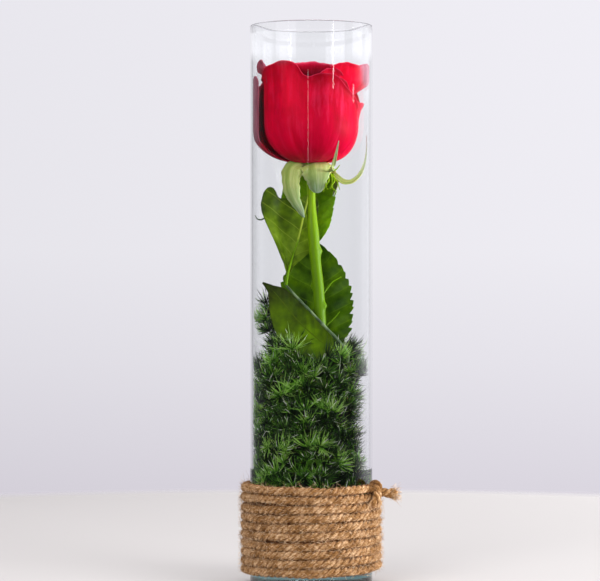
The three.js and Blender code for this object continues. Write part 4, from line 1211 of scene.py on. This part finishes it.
draw = np.random.default_rng(5)
for name, (degrees, top) in SPRAYS.items():
    tufts = int((top - FERN_LOWEST) * TUFTS_PER_MM)
    z = np.linspace(FERN_LOWEST, top - 2, tufts) + draw.uniform(-2.5, 2.5, tufts)
    turn = degrees + draw.uniform(-30, 30, tufts)
    angle = np.radians(turn)
    # Low tufts at both sides reach out to the glass, those at the right draw in, and the left has a gap.
    far = draw.uniform(24, 33, tufts)
    far = far + 4.0 * (np.abs(np.cos(angle)) > 0.6) * (z < 146) * draw.uniform(0.3, 1, tufts)
    bare = np.cos(angle - math.radians(352)) > 0.72
    far = far - 6.0 * bare * (z > 84) * (z < 138)
    keep = ~((np.cos(angle - math.pi) > 0.88) & (z > 146) & (z < 165))
    centre = round_axis(far, turn, z)[keep]
    # The left edge has a column of tufts against the glass.
    if name in ("fern_spray_back_left", "fern_spray_front_left"):
        edge_turn = 180 + draw.uniform(0, 24, EDGE_TUFTS) * (1 if degrees > 180 else -1)
        edge_z = np.linspace(EDGE_LOW, EDGE_HIGH, EDGE_TUFTS)
        centre = np.vstack([centre, round_axis(EDGE_OUT, edge_turn, edge_z)])
    if name in PLACED:
        centre = np.vstack([centre, PLACED[name]])
    tufts = len(centre)
    away = unit(centre * (1, 1, 0))
    axis = unit(0.6 * away + np.array((0, 0, 0.9)) + 0.42 * draw.normal(size=(tufts, 3)))
    shade = draw.choice([0.24, 0.4, 0.62, 0.84], tufts, p=[0.36, 0.3, 0.2, 0.14])
    shade = np.clip(shade + draw.normal(0, 0.05, tufts), 0.1, 0.95)
    length = draw.uniform(6.5, 10.5, (tufts, NEEDLES))
    if name == "fern_spray_front":
        shade[-BRIGHT:] = BRIGHT_TONES
        axis[-BRIGHT:] = unit(np.array(BRIGHT_AXES))
        length[-BRIGHT:] *= 1.25
    bright = burst(centre - TUFT_BACK * axis, axis, length, TUFT_WIDTH, shade, NEEDLE_RADIUS)

    # The inner fill near the stem is toned near black: painted shade deep in the spray.
    fill = int((top - INNER_LOWEST) * INNER_PER_MM)
    z_in = np.linspace(INNER_LOWEST, top - 8, fill) + draw.uniform(-2, 2, fill)
    turn = degrees + draw.uniform(-30, 30, fill)
    core = round_axis(draw.uniform(10, 23, fill), turn, z_in)
    lean = unit(unit(core * (1, 1, 0)) * 0.6 + np.array((0, 0, 0.8)) + 0.4 * draw.normal(size=(fill, 3)))
    length = draw.uniform(9, 13, (fill, INNER_NEEDLES))
    dark = burst(core, lean, length, INNER_WIDTH, draw.uniform(0.0, 0.22, fill), INNER_NEEDLE_RADIUS)
    for part_name, (grid, parts, tones) in (("_needles", bright), ("_inner_needles", dark)):
        stand(name + part_name, grid, parts, needle, [name], "fern", shade=tones)

    foot, knee = round_axis(FOOT_OUT, degrees, STEM_FOOT), round_axis(KNEE_OUT, degrees, FERN_KNEE)
    crown = round_axis(CROWN_OUT, degrees, top - 8)
    low = (np.concatenate([centre[:, 2], z_in]) - TWIG_DROP)[:, None]
    below = foot + (knee - foot) * (low - STEM_FOOT) / (FERN_KNEE - STEM_FOOT)
    upwards = knee + (crown - knee) * np.clip((low - FERN_KNEE) / (crown[2] - FERN_KNEE), 0, 1)
    root = np.where(low < FERN_KNEE, below, upwards)
    tips = np.vstack([centre - TUFT_BACK * axis, core])
    s = np.linspace(0, 1, 6)[None, :, None]
    twig = root[:, None] * (1 - s) + tips[:, None] * s + (s * (1 - s)) * np.array((0, 0, -2.0))
    twig = pressed(twig, NEEDLE_SOFT, GLASS_SIDE)
    main = np.concatenate([np.linspace(foot, knee, 12), np.linspace(knee, crown, 14)[1:]])
    twigs = tubes(twig, np.linspace(0.6, 0.35, 6)[None], 5, (0.3, 0.2, 0.9))[:2]
    stem = tubes(main[None], np.linspace(1.2, 0.7, 25)[None], 8, (0.3, 0.9, 0.1))[:2]
    tones = np.repeat([0.45, 0.5], [twigs[0].size // 3, stem[0].size // 3])
    stand(name + "_twigs", *joined([twigs, stem]), needle, [name], "fern", shade=tones)

# ---------------------------------------------------------------------------------------------------
# Table, room and light: a round white table in a pale room, a soft lamp at the right, weaker ones at the
# left, behind and overhead, and low ones that spare the fern or the rope. The glass alone mirrors slim
# windows and a room of its own, bright above the bloom and dim below it.
# ---------------------------------------------------------------------------------------------------

TABLE_RADIUS, TABLE_FADE, TABLE_STEPS = 0.75, 0.70, 96
RING_SCALE = 4.0

table, tree, shader = finish(
    "white_table", Base_Color=(0.56, 0.537, 0.525, 1), Roughness=0.7, Specular_IOR_Level=0.06
)
length = node(tree, "ShaderNodeVectorMath", {0: in_body(tree)}, operation="LENGTH")
let_through(tree, shader, span(tree, length.outputs["Value"], TABLE_FADE, TABLE_RADIUS))
mesh = bpy.data.meshes.new("table_top")
rings, (quads,) = turned([([0, 0.2, 0.4, 0.6, TABLE_FADE, TABLE_RADIUS], [0] * 6)], TABLE_STEPS)
mesh.from_pydata(rings.reshape(-1, 3).tolist(), [], quads.tolist())
mesh.materials.append(table)
table_top = bpy.data.objects.new("table_top", mesh)
scene.collection.objects.link(table_top)

world = bpy.data.worlds.new("room")
scene.world = world
world.use_nodes = True
tree = world.node_tree
ray = node(tree, "ShaderNodeLightPath").outputs
sky = node(tree, "ShaderNodeTexCoord").outputs["Generated"]
heading = xyz(tree, sky)
wall = ramp(
    tree,
    span(tree, heading["Z"], -0.1, 0.12),
    [
        (0.08, (0.66, 0.632, 0.695)), (0.3, (0.74, 0.722, 0.775)), (0.5, (0.795, 0.782, 0.83)),
        (1.0, (0.815, 0.803, 0.855)),
    ],
)
across = span(tree, heading["X"], -0.12, 0.12, 1.0, 1.075)
turn = maths(tree, "ARCTAN2", heading["X"], maths(tree, "MULTIPLY", heading["Y"], -1.0))
turn = maths(tree, "MULTIPLY_ADD", turn, 1 / (2 * math.pi), 0.5)


def room_ring(stops):
    """Brightness of the mirrored room, over RING_SCALE, by compass direction: stops are (degrees clockwise
    from the camera, value)."""
    return ramp(tree, turn, [(0.5 + degrees / 360, (value / RING_SCALE,) * 3) for degrees, value in stops])


low_ring = room_ring(
    [
        (-180, 1.0), (-158, 0.9), (-148, 0.3), (-115, 0.12), (-95, 0.04), (88, 0.04), (106, 0.7),
        (116, 1.4), (136, 1.4), (146, 0.8), (154, 1.0), (180, 1.0),
    ]
)
high_ring = room_ring(
    [
        (-180, 1.0), (-155, 1.1), (-107, 1.5), (-75, 1.8), (-72, 0.8), (-70, 3.1), (-30, 3.1), (-28, 1.0),
        (0, 0.8), (36, 1.0), (38, 2.7), (65, 2.7), (67, 1.0), (84, 1.4), (86, 3.2), (112, 3.2), (114, 1.4),
        (127, 2.0), (154, 1.2), (180, 1.0),
    ]
)
above = span(tree, heading["Z"], 0.0845, 0.0885)
above_back = span(tree, heading["Z"], 0.064, 0.074)
far_side = maths(tree, "GREATER_THAN", ray["Transmission Depth"], 3.5)
reach = node(tree, "ShaderNodeMix", {0: far_side, 2: above, 3: above_back}, data_type="FLOAT").outputs[0]
steep = span(tree, maths(tree, "ABSOLUTE", heading["Z"]), 0.16, 0.3)
ring = blend(tree, steep, blend(tree, reach, low_ring, high_ring), (0.24, 0.24, 0.24, 1))
room = maths(tree, "MULTIPLY", ring, RING_SCALE)
mirrored = maths(tree, "GREATER_THAN", ray["Glossy Depth"], 0.5)
plain = maths(tree, "MULTIPLY_ADD", ray["Is Diffuse Ray"], -0.32, across)
strength = node(tree, "ShaderNodeMix", {0: mirrored, 2: plain, 3: room}, data_type="FLOAT").outputs[0]
tree.links.new(wall, tree.nodes["Background"].inputs["Color"])
tree.links.new(strength, tree.nodes["Background"].inputs["Strength"])

clear_bodies = [bpy.data.objects["clear_vase"], bpy.data.objects["vase_water"]]


def lamp(name, degrees, distance, low, high, width, radiance, mirrored_only, spared=()):
    """Area light at a distance from the vase's axis, degrees clockwise from the camera seen from above and
    from low to high. Its power is pi times its area times its radiance. It lights either only the clear
    bodies, as a window mirrored in them, or all but them and the spared things."""
    light = bpy.data.lights.new(name, "AREA")
    light.shape = "RECTANGLE"
    light.size, light.size_y = width, high - low
    light.energy = math.pi * width * (high - low) * radiance
    made = bpy.data.objects.new(name, light)
    a = math.radians(degrees)
    made.location = (distance * math.sin(a), -distance * math.cos(a), (low + high) / 2)
    made.rotation_euler = (math.radians(90 - (0 if mirrored_only else 12)), 0, a)
    scene.collection.objects.link(made)
    lit = bpy.data.collections.new(name + "_lights")
    for piece in [*clear_bodies, *spared]:
        lit.objects.link(piece)
    for entry in lit.collection_objects:
        entry.light_linking.link_state = "INCLUDE" if mirrored_only else "EXCLUDE"
    made.light_linking.receiver_collection = lit
    made.visible_camera = False


lamp("right_lamp", 46, 1.2, 0.35, 1.05, 0.7, 5.4, False)
ferns = [piece for piece in scene.objects if piece.name.startswith("fern_")]
lamp("side_lamp", 86, 1.2, 0.0, 0.26, 0.6, 50.0, False, [table_top, *ferns])
lamp("left_lamp", -26, 1.3, 0.2, 0.95, 0.7, 7.2, False)
ropes = [bpy.data.objects[name] for name in ("laid_jute_rope", "jute_fuzz", "frayed_end")]
lamp("low_lamp", 18, 1.45, 0.02, 0.26, 0.9, 2.8, False, [table_top, *ropes])
lamp("far_lamp", 155, 1.3, 0.30, 1.0, 0.5, 7.0, False)
lamp("left_window_bar", -43, 1.25, 0.445, 0.9, 0.014, 4.0, True)
lamp("right_slit", 41.5, 1.5, 0.43, 0.9, 0.034, 11.0, True)
lamp("side_slit", 86, 1.3, 0.401, 0.421, 0.04, 8.0, True)
lamp("front_slit", -6, 1.95, 0.35, 0.49, 0.055, 1.7, True)
overhead = bpy.data.lights.new("overhead", "AREA")
overhead.size, overhead.energy = 0.5, 7
overhead_lamp = bpy.data.objects.new("overhead", overhead)
overhead_lamp.location = (0.05, -0.1, 1.3)
overhead_lamp.visible_camera = False
scene.collection.objects.link(overhead_lamp)

scene.view_settings.view_transform = "Standard"
scene.cycles.max_bounces = 24
scene.cycles.glossy_bounces = 16
scene.cycles.transmission_bounces = 24
scene.cycles.transparent_max_bounces = 16
scene.cycles.caustics_reflective = False
scene.cycles.caustics_refractive = False
